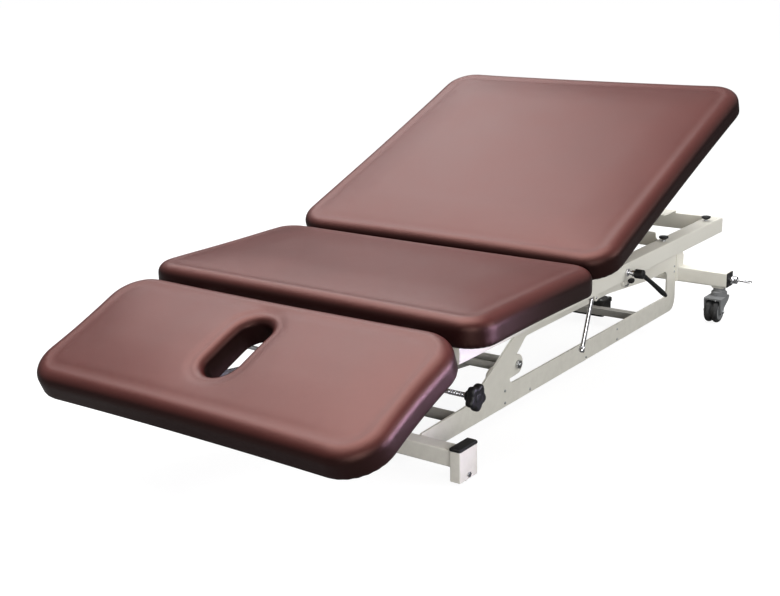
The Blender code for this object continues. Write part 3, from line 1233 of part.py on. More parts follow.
def build_plug(root, side_name, side):
    inner = BEAM_WALL + SEAT
    y_face = side * (REAR_BEAM_END_Y + SEAT)
    plug = [block(REAR_BEAM_X + 0.001, REAR_BEAM_X + REAR_BEAM_SIZE - 0.001, y_face,
                  y_face + side * PLUG_THICKNESS, REAR_BEAM_Z + 0.001, REAR_BEAM_Z + REAR_BEAM_SIZE - 0.001),
            block(REAR_BEAM_X + inner, REAR_BEAM_X + REAR_BEAM_SIZE - inner, y_face + side * OVERLAP,
                  y_face - side * PLUG_DEPTH, REAR_BEAM_Z + inner, REAR_BEAM_Z + REAR_BEAM_SIZE - inner)]
    hole = cross_rod((CASTER_X, PLUNGER_Z), y_face + side * 0.02, y_face - side * 0.04,
                     bore(PLUNGER_R, SMALL_ROUND), SMALL_ROUND)
    node("rear_plug_" + side_name, "black_plastic", plug, [hole], parent=root)


def build_plunger(root, side_name, side):
    """Sprung plunger through the end plug, with a collar and a pull ring."""
    seat = PLUNGER_SEAT_Y + SEAT
    nose = seat - PLUNGER_NOSE
    collar_end = PLUNGER_NOSE + PLUNGER_COLLAR_LENGTH
    tip = collar_end + PLUNGER_TAIL
    profile = [(0, 0), (PLUNGER_R, 0), (PLUNGER_R, PLUNGER_NOSE), (PLUNGER_COLLAR_R, PLUNGER_NOSE),
               (PLUNGER_COLLAR_R, collar_end - 0.004), (PLUNGER_R, collar_end - 0.002),
               (PLUNGER_R * 0.6, collar_end), (PLUNGER_R * 0.6, tip), (0, tip)]
    stem = turned(profile, (CASTER_X, side * nose, PLUNGER_Z), (0, side, 0), SMALL_ROUND)
    ring_mid = nose + tip + PULL_RING_R - 0.002
    steps = 16
    ring = bmesh.new()
    section = circle((PULL_RING_R, 0.0), PULL_RING_WIRE, 8)
    layers = []
    for i in range(steps):
        a = 2 * math.pi * i / steps
        layers.append([ring.verts.new((CASTER_X + r * math.cos(a), side * (ring_mid + r * math.sin(a)), PLUNGER_Z + h))
                       for r, h in section])
    for i in range(steps):
        here = layers[i]
        after = layers[(i + 1) % steps]
        for k in range(8):
            m = (k + 1) % 8
            ring.faces.new([here[k], here[m], after[m], after[k]])
    bmesh.ops.recalc_face_normals(ring, faces=ring.faces)
    node("plunger_" + side_name, "chrome", [stem, ring], pivot=(CASTER_X, side * seat, PLUNGER_Z), parent=root)


def build_caster(root, side_name, side, pad_low):
    """Swivel fork with its stem and axle, and a twin-tread wheel between the fork's arms."""
    y_mid = side * CASTER_Y
    axle = (CASTER_X - CASTER_TRAIL, WHEEL_R)
    top = pad_low - SEAT
    half = WHEEL_WIDTH / 2
    arm_in = half + 0.0015
    crown_low = 2 * WHEEL_R + FORK_OVER_WHEEL
    crown_top = crown_low + FORK_CROWN
    crown_half = arm_in + FORK_ARM + OVERLAP
    neck = top - crown_top
    stem = REAR_BEAM_Z + STEM_INTO_BEAM - crown_top
    profile = [(0, -FORK_CROWN / 2), (FORK_DISC_R, -FORK_CROWN / 2), (FORK_DISC_R, 0.45 * neck), (FORK_NECK_R, 0.6 * neck),
               (FORK_NECK_R, neck), (CASTER_STEM_R, neck), (CASTER_STEM_R, stem), (0, stem)]
    front = axle[0] - FORK_REACH
    back = CASTER_X + FORK_BACK
    crown = rounded(front, back, y_mid - crown_half, y_mid + crown_half, 0.004)
    fork = [extruded([crown], crown_low, crown_top, "Z"),
            turned(profile, (CASTER_X, y_mid, crown_top), (0, 0, 1))]
    hub = FORK_HUB_R
    arm = filleted([(axle[0] - hub, axle[1] - hub, hub), (axle[0] + hub, axle[1] - hub, hub),
                    (axle[0] + 1.3 * hub, axle[1] + hub, hub), (CASTER_X + 0.5 * FORK_BACK, crown_low - hub, hub),
                    (back - 0.001, crown_low + OVERLAP, 0.0), (front + 0.001, crown_low + OVERLAP, 0.0)])
    for way in (-1.0, 1.0):
        y0 = y_mid + way * arm_in
        fork.append(extruded([arm], y0, y0 + way * FORK_ARM))
    fork.append(cross_rod(axle, y_mid - arm_in - FORK_ARM - 0.002, y_mid + arm_in + FORK_ARM + 0.002, WHEEL_BORE_R,
                          SMALL_ROUND))
    node("caster_fork_" + side_name, "caster_grey", fork, pivot=(CASTER_X, y_mid, top), parent=root)
    groove = WHEEL_GROOVE / 2
    edge = 0.005
    tread = [(0, -half), (WHEEL_R - edge, -half), (WHEEL_R, -half + edge), (WHEEL_R, -groove - 0.003),
             (WHEEL_R - 0.006, -groove), (WHEEL_R - 0.006, groove), (WHEEL_R, groove + 0.003),
             (WHEEL_R, half - edge), (WHEEL_R - edge, half), (0, half)]
    spot = (axle[0], y_mid, axle[1])
    node("caster_wheel_" + side_name, "tyre_rubber", [turned(tread, spot, (0, 1, 0), 28)],
         [cross_rod(axle, y_mid - 2 * half, y_mid + 2 * half, bore(WHEEL_BORE_R, SMALL_ROUND), SMALL_ROUND)],
         pivot=spot, parent=root)


CROSS_BAR_X = REAR_PIVOT[0] + CROSS_BAR_FROM_PIVOT


def build_base_ties(root):
    """Front cross tube, rear cross bar with the actuator's ears, and the control box behind it."""
    tube = (FRONT_PIVOT[0] - FRONT_TUBE_FROM_PIVOT, FRONT_TUBE_Z - 0.012)
    node("front_cross_tube", "grey_paint",
         [cross_rod(tube, SEAT - PLATE_INNER_Y, PLATE_INNER_Y - SEAT, FRONT_TUBE_R)], parent=root)
    high = CROSS_BAR_Z + CROSS_BAR_HEIGHT
    bar_end = PLATE_INNER_Y - SEAT
    solids = [block(CROSS_BAR_X, CROSS_BAR_X + CROSS_BAR_DEPTH, -bar_end, bar_end, CROSS_BAR_Z, high)]
    hole = bore(TRUNNION_R, SMALL_ROUND)
    for _, side in SIDES:
        y0 = ACTUATOR_Y + side * TRUNNION_EAR_IN
        ear = link((CROSS_BAR_X + CROSS_BAR_DEPTH / 2, high - 0.010), TRUNNION, 0.0139, 0.014)
        solids.append(extruded([ear], y0, y0 + side * EAR_THICKNESS))
    reach = TRUNNION_EAR_IN + EAR_THICKNESS + 0.01
    cuts = [cross_rod(TRUNNION, ACTUATOR_Y - reach, ACTUATOR_Y + reach, hole, SMALL_ROUND)]
    node("rear_cross_bar", "grey_paint", solids, cuts, parent=root)
    x0 = CROSS_BAR_X + CROSS_BAR_DEPTH + SEAT
    half = CONTROL_BOX_WIDTH / 2
    outline = filleted([(x0, -half, 0.008), (x0 + CONTROL_BOX_LENGTH, -half, 0.008),
                        (x0 + CONTROL_BOX_LENGTH, half, 0.008), (x0, half, 0.008)])
    node("control_box", "black_plastic",
         [extruded([outline], CONTROL_BOX_Z, CONTROL_BOX_Z + CONTROL_BOX_HEIGHT, "Z")], parent=root)


def build_base(root):
    build_side_plates(root)
    build_shafts(root)
    build_front_foot(root)
    build_rear_foot(root)
    build_base_ties(root)


def centre_on_floor(root):
    """Moves the table so that the origin is at the middle of its box, on the floor."""
    bpy.context.view_layer.update()
    reach = []
    for obj in bpy.data.objects:
        if obj.type == "MESH":
            reach += [(obj.matrix_world @ vertex.co).x for vertex in obj.data.vertices]
    root.location.x = -(min(reach) + max(reach)) / 2
    bpy.context.view_layer.update()


def main():
    clear_scene()
    root = empty("table", (0.0, 0.0, 0.0))
    build_base(root)
    build_arms(root)
    build_actuator(root)
    build_upper_frame(root)
    build_head(root)
    build_back(root)
    centre_on_floor(root)
    return root


main()
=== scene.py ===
import json
from math import atan2, cos, hypot, pi, radians, sin

import bmesh
import bpy
import numpy as np
from mathutils import Matrix, Vector

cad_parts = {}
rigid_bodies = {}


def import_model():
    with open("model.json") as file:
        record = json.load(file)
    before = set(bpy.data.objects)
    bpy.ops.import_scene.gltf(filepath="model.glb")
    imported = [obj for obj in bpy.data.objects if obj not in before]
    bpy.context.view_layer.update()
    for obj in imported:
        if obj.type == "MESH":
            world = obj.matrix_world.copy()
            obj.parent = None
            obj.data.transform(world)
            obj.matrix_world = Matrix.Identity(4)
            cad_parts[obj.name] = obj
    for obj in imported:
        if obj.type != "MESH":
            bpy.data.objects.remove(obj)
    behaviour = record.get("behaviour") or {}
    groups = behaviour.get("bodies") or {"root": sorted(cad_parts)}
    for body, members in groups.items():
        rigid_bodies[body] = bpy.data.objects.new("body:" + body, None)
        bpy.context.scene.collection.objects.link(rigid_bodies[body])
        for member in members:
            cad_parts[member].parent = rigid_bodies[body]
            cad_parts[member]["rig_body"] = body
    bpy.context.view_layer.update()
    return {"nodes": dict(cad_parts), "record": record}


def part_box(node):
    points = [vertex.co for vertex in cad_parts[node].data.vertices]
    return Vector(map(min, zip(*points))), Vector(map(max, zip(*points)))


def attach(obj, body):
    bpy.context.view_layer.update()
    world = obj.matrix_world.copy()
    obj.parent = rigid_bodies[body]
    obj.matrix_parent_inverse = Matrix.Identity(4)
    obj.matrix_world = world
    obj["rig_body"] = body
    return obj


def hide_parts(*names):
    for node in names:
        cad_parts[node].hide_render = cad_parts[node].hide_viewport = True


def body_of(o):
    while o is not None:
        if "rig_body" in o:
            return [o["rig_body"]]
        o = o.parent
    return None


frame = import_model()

SLOT_OF = {part["node"]: part["material_slot"] for part in frame["record"]["subparts"]}
JOINT_AT = {joint["name"]: Vector(joint["pos_m"]) for joint in frame["record"]["behaviour"]["joints"]}
SIDES = (("right", -1.0), ("left", 1.0))
UP = (0.0, 0.0, 1.0)
DOWN = (0.0, 0.0, -1.0)
ORIGIN = (0.0, 0.0, 0.0)
QUARTER = pi / 2
CORNERS = ((1, 1), (-1, 1), (-1, -1), (1, -1))
SMOOTH = 35.0
SOFT = 180.0

# View of the photograph, in degrees, pixels and metres, its sensor in millimetres, and the floor
VIEW_YAW, VIEW_PITCH, VIEW_ROLL = 36.50, 15.94, 1.41
VIEW_FOCAL = 1249.7
VIEW_WIDTH = 780
VIEW_FROM = (-2.8263, -1.8746, 1.2474)
SENSOR = 36.0
FLOOR_HALF, FLOOR_DROP = 40.0, -0.0005

# Cushions: the sizes of the solids that they stand for, and of their soft forms
PAD_WIDTH = 1.016
PAD_THICKNESS = 0.069
PAD_TOP_ROUND = 0.028
PAD_BOTTOM_ROUND = 0.012
PAD_SIDE_BOW = 0.004
BOW_FADE = 0.12
PAD_CROWN = 0.007
CROWN_REACH = 0.16
PAD_STEP = 0.015
CORNER_STEPS = 10
HINGE_RISE = 0.012
HEAD_TILT = radians(22.6)
BACK_TILT = radians(21.25)
FULLER = 0.005
POCKET_INSET = 0.030
POCKET_DEPTH = 0.0153
NOSE_AT, NOSE_LENGTH, NOSE_WIDTH = -0.195, 0.200, 0.094
NOSE_FLARE = 0.022
NOSE_SLEEVE = 0.006
SWELL_FRAMES = 20
SWELL_CAP = 0.004
SWELL_BLUR = 0.030
HELD_BELOW, FREE_OVER = 0.004, 0.030
HINGE_EASE = 0.050
TOP_FROM, TOP_OVER = 0.050, 0.012
RIDGE_INSET, RIDGE_WIDTH, RIDGE_HEIGHT = 0.027, 0.010, 0.0006
VALLEY_INSET, VALLEY_WIDTH, VALLEY_DEPTH = 0.049, 0.013, 0.0008
SLOT_DIP, SLOT_DIP_REACH = 0.0030, 0.016
WAVE_HEIGHT, WAVE_INSET = 0.00035, 0.06
PLEAT_DEPTH, PLEAT_TOP, PLEAT_INSET, PLEATS, PLEAT_LEAN = 0.0008, 0.020, 0.012, 28.0, 40.0
HEM_OUTER = 0.0285
HEM_INNER = 0.053
HEM_SEAT = -0.00002
HEM_UNDER = -0.0002
HEM_WANDER = ((0.0022, 1.7, 0.0), (0.0014, 0.61, 1.0))
STAPLE_INSET = 0.043
STAPLE_STEP = 0.026
HINGE_ROOM, HINGE_INNER, HINGE_OUTER, HINGE_END = 0.075, 0.285, 0.340, 0.345
BUMPER_ROOM = 0.030
CLOTH = {"quality": 4, "mass": 0.4, "tension_stiffness": 25.0, "compression_stiffness": 25.0,
         "shear_stiffness": 8.0, "bending_stiffness": 1.5, "use_pressure": True, "uniform_pressure_force": 4.0,
         "vertex_group_mass": "held"}

# Fittings, in metres, and in millimetres where they are turned
EDGE = 0.0008
MERGE = 1e-5
FLAT, SHARP = radians(0.5), radians(40.0)
VOLUME_SLACK = 0.03
KNOB_R, KNOB_LOBE, KNOB_LOBES = 30.5, 4.0, 5
WHEEL_R, WHEEL_HALF, HUB_DISC_R = 37.5, 23.0, 27.5
BEAD_R, BEAD_STEP, BEAD_RIPPLE, BEAD_TURN = 0.0021, 0.0022, 0.16, 1.9
BOLT_TURN = 2.399
STRAP_UNDER = -0.0223
CROSS_UNDER, CROSS_TOP, CROSS_HALF = 0.3477, 0.3710, 0.020
CROSS_AT = (-0.5513, -0.1463)
RAIL_Y, RAIL_Z, RAIL_HALF, RAIL_INSIDE = 0.385, 0.3475, 0.025, 0.3597
PLATE_FACE, PLATE_INSIDE = 0.2300, 0.2240
PIVOT_FACES = {"lift": 0.2327, "rear_arm_turn": 0.2382}
HINGE_FACE = 0.3163


# Node trees


def feed(socket, value):
    """Links a socket to the one given, or sets its value."""
    if isinstance(value, bpy.types.NodeSocket):
        socket.id_data.links.new(value, socket)
    else:
        socket.default_value = value


def add(tree, kind, **values):
    """One node; values set its properties, or feed its inputs where a name starts with in_."""
    node = tree.nodes.new(kind)
    for key, value in values.items():
        if key.startswith("in_"):
            feed(node.inputs[key[3:].replace("_", " ")], value)
        else:
            setattr(node, key, value)
    return node


def ramp(source, low, high, start=0.0, end=1.0):
    """Clamped map of a value from low..high to start..end."""
    return add(source.id_data, "ShaderNodeMapRange", in_Value=source, in_From_Min=low, in_From_Max=high,
               in_To_Min=start, in_To_Max=end).outputs["Result"]


def mix(factor, first, second):
    """Mix of two colours; each is a socket or a tuple."""
    node = add(factor.id_data, "ShaderNodeMix", data_type="RGBA")
    for index, value in ((0, factor), (6, first), (7, second)):
        feed(node.inputs[index], value)
    return node.outputs[2]


def maths(operation, *values):
    node = add(values[0].id_data, "ShaderNodeMath", operation=operation)
    for socket, value in zip(node.inputs, values):
        feed(socket, value)
    return node.outputs[0]


def noise(where, scale, detail, roughness=0.5, distortion=0.0):
    return add(where.id_data, "ShaderNodeTexNoise", in_Vector=where, in_Scale=scale, in_Detail=detail,
               in_Roughness=roughness, in_Distortion=distortion).outputs["Fac"]


def new_group(kind, name, inputs, outputs):
    """Empty node group with sockets of the types given, and what its inputs take."""
    tree = bpy.data.node_groups.new(name, kind)
    for way, sockets in (("INPUT", inputs), ("OUTPUT", outputs)):
        for label, type_name in sockets.items():
            tree.interface.new_socket(label, in_out=way, socket_type="NodeSocket" + type_name)
    return tree, tree.nodes.new("NodeGroupInput").outputs


def put_out(tree, **values):
    """Ends a group with what its outputs give."""
    add(tree, "NodeGroupOutput", **{"in_" + label: value for label, value in values.items()})
    return tree


def shader_group(name, inputs, outputs):
    """Empty shader group with float sockets, and its Object coordinates."""
    sockets = (dict.fromkeys(names, "Float") for names in (inputs, outputs))
    tree, take = new_group("ShaderNodeTree", name, *sockets)
    return tree, take, add(tree, "ShaderNodeTexCoord").outputs["Object"]


def grain_group():
    """Pebbled grain: cells with rounded tops and fine creases between, a mask of those creases for painted shade,
    and a slow mottle.
    """
    tree, take, where = shader_group("pebble_grain", ("Scale", "Mottle"), ("Height", "Mottle", "Crease"))
    warp = noise(where, 240.0, 2.0).node.outputs["Color"]
    push = add(tree, "ShaderNodeMix", data_type="VECTOR", in_Factor=0.0012)
    feed(push.inputs[4], where)
    feed(push.inputs[5], warp)
    cells = add(tree, "ShaderNodeTexVoronoi", feature="DISTANCE_TO_EDGE", in_Vector=push.outputs[1],
                in_Scale=take["Scale"]).outputs["Distance"]
    fine = noise(where, take["Scale"], 3.0)
    return put_out(tree, Height=maths("MULTIPLY_ADD", fine, 0.35, ramp(cells, 0.0, 0.28)),
                   Mottle=noise(where, take["Mottle"], 3.0, 0.6),
                   Crease=ramp(cells, 0.0, 0.07, 1.0, 0.0))


def peel_group():
    """Powder coat's orange peel, with a slow drift of tone and a few fine scuffs."""
    tree, take, where = shader_group("coat_peel", ("Scale", "Scuff"), ("Height", "Tone", "Scuffs"))
    stretch = add(tree, "ShaderNodeMapping", in_Vector=where, in_Scale=(14.0, 60.0, 60.0),
                  in_Rotation=(0.2, 0.5, 0.3))
    marks = ramp(noise(stretch.outputs[0], 3.0, 5.0, 0.7), 0.68, 0.76)
    return put_out(tree, Height=noise(where, take["Scale"], 1.5),
                   Tone=noise(where, 3.5, 4.0), Scuffs=maths("MULTIPLY", marks, take["Scuff"]))


def dust_group():
    """Dust that gathers low down, broken up by noise."""
    tree, take, where = shader_group("floor_dust", ("Height", "Amount"), ("Mask",))
    height = add(tree, "ShaderNodeSeparateXYZ", in_Vector=where).outputs["Z"]
    near = ramp(maths("DIVIDE", height, take["Height"]), 0.0, 1.0, 1.0, 0.0)
    broken = ramp(noise(where, 38.0, 5.0, 0.65), 0.38, 0.68)
    return put_out(tree, Mask=maths("MULTIPLY", maths("MULTIPLY", near, broken), take["Amount"]))


def drawn_group():
    """Fine drawn lines and faint smudges of plated metal."""
    tree, take, where = shader_group("drawn_metal", ("Stretch", "Smudge"), ("Height", "Smudges"))
    scale = add(tree, "ShaderNodeCombineXYZ", in_X=900.0, in_Y=take["Stretch"], in_Z=900.0)
    lines = add(tree, "ShaderNodeVectorMath", operation="MULTIPLY")
    feed(lines.inputs[0], where)
    feed(lines.inputs[1], scale.outputs[0])
    return put_out(tree, Height=noise(lines.outputs[0], 1.0, 2.0),
                   Smudges=noise(where, take["Smudge"], 4.0, 0.6))


def rolled_group():
    """Painted shade: how far a surface turns away from straight up, from the top round to the sides and
    underneath.
    """
    tree, _, where = shader_group("painted_side_shade", (), ("Side",))
    upward = add(tree, "ShaderNodeSeparateXYZ", in_Vector=where.node.outputs["Normal"]).outputs["Z"]
    return put_out(tree, Side=ramp(upward, 0.25, 0.90, 1.0, 0.0))


GRAIN = grain_group()
SIDE_SHADE = rolled_group()
PEEL = peel_group()
DUST = dust_group()
DRAWN = drawn_group()


def new_finish(name, **values):
    """Material and its tree; values name the shader's own sockets."""
    mat = bpy.data.materials.new(name)
    mat.use_nodes = True
    shader = mat.node_tree.nodes["Principled BSDF"]
    for key, value in values.items():
        shader.inputs[key.replace("_", " ")].default_value = value
    return mat, mat.node_tree


def effect(tree, group, **values):
    """What a shared effect gives with its own values."""
    node = add(tree, "ShaderNodeGroup", node_tree=group)
    for key, value in values.items():
        node.inputs[key].default_value = value
    return node.outputs


def coated(mat, colour, rough, height, strength, distance):
    """Finish with its colour, roughness and bump fed to the shader."""
    tree = mat.node_tree
    bump = add(tree, "ShaderNodeBump", in_Strength=strength, in_Distance=distance, in_Height=height)
    for name, source in (("Base Color", colour), ("Roughness", rough), ("Normal", bump.outputs["Normal"])):
        tree.links.new(source, tree.nodes["Principled BSDF"].inputs[name])
    return mat


def burgundy_vinyl():
    mat, tree = new_finish("burgundy_vinyl", Specular_IOR_Level=0.42, Specular_Tint=(1.0, 0.52, 0.45, 1.0))
    grain = effect(tree, GRAIN, Scale=620.0, Mottle=4.0)
    top = mix(ramp(grain["Mottle"], 0.3, 0.7), (0.048, 0.0086, 0.0072, 1), (0.058, 0.0112, 0.0094, 1))
    # Painted shade: the cover's sides, underside and nose slot walls darken to near black, darker than its top.
    side_shaded = mix(effect(tree, SIDE_SHADE)["Side"], top, (0.008, 0.0022, 0.0022, 1))
    # Painted shade: the grain's fine creases are darkened towards black.
    crease_shaded = mix(grain["Crease"], side_shaded, (0.012, 0.0030, 0.0030, 1))
    return coated(mat, crease_shaded, ramp(grain["Mottle"], 0.25, 0.75, 0.31, 0.38), grain["Height"], 0.35, 0.0003)


def powder_coat(name, dark, light, scuff, dirt):
    mat, tree = new_finish(name, Specular_IOR_Level=0.5, Coat_Weight=0.15, Coat_Roughness=0.25)
    peel = effect(tree, PEEL, Scale=300.0, Scuff=0.35)
    dust = effect(tree, DUST, Height=0.20, Amount=0.30)["Mask"]
    base = mix(ramp(peel["Tone"], 0.3, 0.7), dark, light)
    dusty = mix(dust, mix(peel["Scuffs"], base, scuff), dirt)
    rough = maths("ADD", ramp(peel["Tone"], 0.3, 0.7, 0.33, 0.42), maths("MULTIPLY", dust, 0.3))
    return coated(mat, dusty, rough, peel["Height"], 0.10, 0.0004)


def moulded(name, dark, light, low, high, grain_scale=900.0, strength=0.25, dust_amount=0.35):
    """Moulded plastic or rubber: fine pebble, tone drift and dust near the floor."""
    mat, tree = new_finish(name, Specular_IOR_Level=0.45)
    grain = effect(tree, GRAIN, Scale=grain_scale, Mottle=22.0)
    dust = effect(tree, DUST, Height=0.14, Amount=dust_amount)["Mask"]
    base = mix(ramp(grain["Mottle"], 0.3, 0.7), dark, light)
    dusty = mix(dust, base, (0.30, 0.29, 0.27, 1))
    rough = ramp(grain["Mottle"], 0.25, 0.75, low, high)
    return coated(mat, dusty, rough, grain["Height"], strength, 0.0002)


def plated(name, colour, dull, low, high, strength, stretch=30.0):
    """Plated steel: drawn lines, smudges that dull the shine."""
    mat, tree = new_finish(name, Metallic=1.0)
    drawn = effect(tree, DRAWN, Stretch=stretch, Smudge=30.0)
    tone = mix(ramp(drawn["Smudges"], 0.35, 0.75), colour, dull)
    rough = ramp(drawn["Smudges"], 0.3, 0.75, low, high)
    return coated(mat, tone, rough, drawn["Height"], strength, 0.0001)


def birch_ply():
    mat, tree = new_finish("birch_plywood", Specular_IOR_Level=0.3)
    where = add(tree, "ShaderNodeTexCoord").outputs["Object"]
    stretch = add(tree, "ShaderNodeMapping", in_Vector=where, in_Scale=(6.0, 90.0, 90.0)).outputs[0]
    figure = noise(stretch, 1.6, 6.0, 0.62, 0.8)
    pores = noise(stretch, 14.0, 2.0)
    wood = mix(ramp(figure, 0.3, 0.7), (0.62, 0.44, 0.26, 1), (0.46, 0.30, 0.16, 1))
    deep = mix(ramp(pores, 0.60, 0.72, 0.0, 0.5), wood, (0.28, 0.17, 0.09, 1))
    return coated(mat, deep, ramp(figure, 0.3, 0.7, 0.55, 0.72), pores, 0.2, 0.0003)


FINISH = {
    "vinyl": burgundy_vinyl(),
    "plywood": birch_ply(),
    "cream_paint": powder_coat("cream_powder_coat", (0.86, 0.835, 0.75, 1), (0.90, 0.875, 0.79, 1),
                               (0.62, 0.60, 0.56, 1), (0.60, 0.57, 0.51, 1)),
    "black_plastic": moulded("black_moulding", (0.0045, 0.0045, 0.0048, 1), (0.009, 0.009, 0.0095, 1), 0.36, 0.50,
                             dust_amount=0.08),
    "chrome": plated("bright_chrome", (0.80, 0.80, 0.82, 1), (0.66, 0.66, 0.68, 1), 0.07, 0.20, 0.03),
    "zinc": plated("zinc_plate", (0.58, 0.59, 0.60, 1), (0.42, 0.43, 0.44, 1), 0.28, 0.45, 0.12, 60.0),
    "tyre_rubber": moulded("charcoal_rubber", (0.012, 0.012, 0.013, 1), (0.020, 0.020, 0.022, 1), 0.50, 0.70,
                           700.0, 0.4, 0.15),
    # Grey coat for the tubes and arms under the table: partly a grey paint, partly painted shade, darker than the
    # cream coat for the table top's shadow.
    "grey_paint": powder_coat("grey_coat_and_painted_shade", (0.40, 0.39, 0.36, 1), (0.46, 0.45, 0.42, 1),
                              (0.30, 0.29, 0.27, 1), (0.40, 0.38, 0.34, 1)),
    "caster_grey": moulded("grey_moulding", (0.19, 0.195, 0.20, 1), (0.25, 0.255, 0.26, 1), 0.34, 0.48,
                           dust_amount=0.12),
}


def finish_frame():
    """Gives each CAD node the finish of its slot."""
    for name, obj in frame["nodes"].items():
        if not obj.material_slots:
            obj.data.materials.append(None)
        for place in obj.material_slots:
            place.material = FINISH[SLOT_OF[name]]


# Meshes


def mesh_of(bm):
    mesh = bpy.data.meshes.new("mesh")
    bm.to_mesh(mesh)
    bm.free()
    return mesh


def linked(name, data):
    """New object in the scene."""
    obj = bpy.data.objects.new(name, data)
    bpy.context.scene.collection.objects.link(obj)
    return obj


def drop(obj):
    bpy.data.objects.remove(obj, do_unlink=True)


def piece(shape, name, slot, smooth=SMOOTH):
    """Object at the origin with its finish, of a mesh or a bmesh."""
    mesh = shape if isinstance(shape, bpy.types.Mesh) else mesh_of(shape)
    mesh.name = name
    mesh.materials.clear()
    mesh.materials.append(FINISH[slot])
    mesh.shade_smooth()
    mesh.set_sharp_from_angle(angle=radians(smooth))
    return linked(name, mesh)


def seat(obj, body, slot, *nodes):
    """Says which body a piece rides on and the nodes that it stands for, which it hides; the slot is not used."""
    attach(obj, body)
    if nodes:
        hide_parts(*nodes)


def fit(shape, name, body, slot, *nodes, smooth=SMOOTH):
    """Finished piece on its body."""
    seat(piece(shape, name, slot, smooth), body, slot, *nodes)


def evaluated_mesh(obj):
    """Plain mesh of an object with its modifiers applied."""
    bpy.context.view_layer.update()
    return bpy.data.meshes.new_from_object(obj.evaluated_get(bpy.context.evaluated_depsgraph_get()))


def skin_rings(rings, loop=False, cap=lambda bm, layer: bm.faces.new(layer)):
    """Skin over rings with equal point counts, or poles of one point: joined end to end, or capped."""
    bm = bmesh.new()
    layers = [[bm.verts.new(point) for point in ring] for ring in rings]
    count = max(len(layer) for layer in layers)
    for lower, upper in zip(layers, layers[1:] + (layers[:1] if loop else [])):
        for i in range(count):
            j = (i + 1) % count
            face = [lower[i % len(lower)], lower[j % len(lower)], upper[j % len(upper)], upper[i % len(upper)]]
            bm.faces.new(list(dict.fromkeys(face)))
    if cap and not loop:
        cap(bm, layers[0])
        cap(bm, layers[-1])
    bmesh.ops.recalc_face_normals(bm, faces=bm.faces)
    return bm


def arc(centre, radius, start, end, count):
    turns = np.linspace(start, end, count)
    return [(centre[0] + radius * cos(a), centre[1] + radius * sin(a)) for a in turns]


def circle(radius, count):
    return arc((0.0, 0.0), radius, 0.0, 2 * pi, count + 1)[:-1]


def at_height(flat, height):
    return [(x, y, height) for x, y in flat]


def corner_arcs(hx, hy, radius, count):
    """Arcs at the four corners of a rounded rectangle about the origin."""
    return [arc((sx * (hx - radius), sy * (hy - radius)), radius, k * QUARTER, k * QUARTER + QUARTER, count)
            for k, (sx, sy) in enumerate(CORNERS)]


def facing(axis, place):
    """Matrix that sets +Z along axis at a place."""
    return Matrix.Translation(place) @ Vector(axis).to_track_quat("Z", "Y").to_matrix().to_4x4()


def turned_rings(profile, steps):
    """A ring for each (radius, height) in millimetres, or a pole where the radius is nothing."""
    return [at_height(circle(radius / 1000, steps) if radius else [(0.0, 0.0)], height / 1000)
            for radius, height in profile]


def lathe(profile, axis=UP, place=ORIGIN, steps=48):
    """Turned solid; its profile runs from pole to pole."""
    bm = skin_rings(turned_rings(profile, steps), cap=None)
    bm.transform(facing(axis, place))
    return bm


def lobed(levels, spot, side, count, lobes=0, phase=0.0, start=0.0):
    """Grip about Y: a ring for each (radius, lobe, height) in millimetres."""
    turns = [2 * pi * i / count + start for i in range(count)]
    rings = []
    for radius, lobe, height in levels:
        reach = [(radius + lobe * cos(lobes * a + phase)) / 1000 for a in turns]
        rings.append([(spot[0] + r * cos(a), spot[1] + side * height / 1000, spot[2] + r * sin(a))
                      for r, a in zip(reach, turns)])
    return skin_rings(rings)


def joined(*shells):
    """One bmesh of several closed shells."""
    bm = bmesh.new()
    for shell in shells:
        mesh = mesh_of(shell)
        bm.from_mesh(mesh)
        bpy.data.meshes.remove(mesh)
    return bm


# Trees for what repeats or follows a path


def geo_tree(name, **inputs):
    """Empty geometry tree with named inputs, a finish among them."""
    shape = {"Geometry": "Geometry"}
    return new_group("GeometryNodeTree", name, {**shape, **inputs, "Finish": "Material"}, shape)


def end_tree(tree, take, node):
    """Realizes a node's geometry and gives it its finish."""
    real = add(tree, "GeometryNodeRealizeInstances", in_Geometry=node.outputs[0])
    coat = add(tree, "GeometryNodeSetMaterial", in_Geometry=real.outputs[0], in_Material=take["Finish"])
    return put_out(tree, Geometry=coat.outputs[0])


def bar(tree, path, sides, radius, **values):
    """Round bar along a curve, closed at its ends."""
    ring = add(tree, "GeometryNodeCurvePrimitiveCircle", in_Resolution=sides, in_Radius=radius)
    return add(tree, "GeometryNodeCurveToMesh", in_Fill_Caps=True, in_Curve=path.outputs[0],
               in_Profile_Curve=ring.outputs[0], **values)


def fastener_tree():
    """A head on each point, its top along aim and its side along the along vector."""
    tree, take = geo_tree("fasteners", Head="Object", Size="Float")
    head = add(tree, "GeometryNodeObjectInfo", in_Object=take["Head"]).outputs["Geometry"]
    aim, along = (add(tree, "GeometryNodeInputNamedAttribute", data_type="FLOAT_VECTOR",
                      in_Name=name).outputs["Attribute"] for name in ("aim", "along"))
    stand = add(tree, "FunctionNodeAlignRotationToVector", axis="Z", in_Vector=aim)
    turn = add(tree, "FunctionNodeAlignRotationToVector", axis="X", pivot_axis="Z", in_Vector=along,
               in_Rotation=stand.outputs[0])
    return end_tree(tree, take, add(tree, "GeometryNodeInstanceOnPoints", in_Points=take["Geometry"],
                                    in_Instance=head, in_Rotation=turn.outputs[0], in_Scale=take["Size"]))


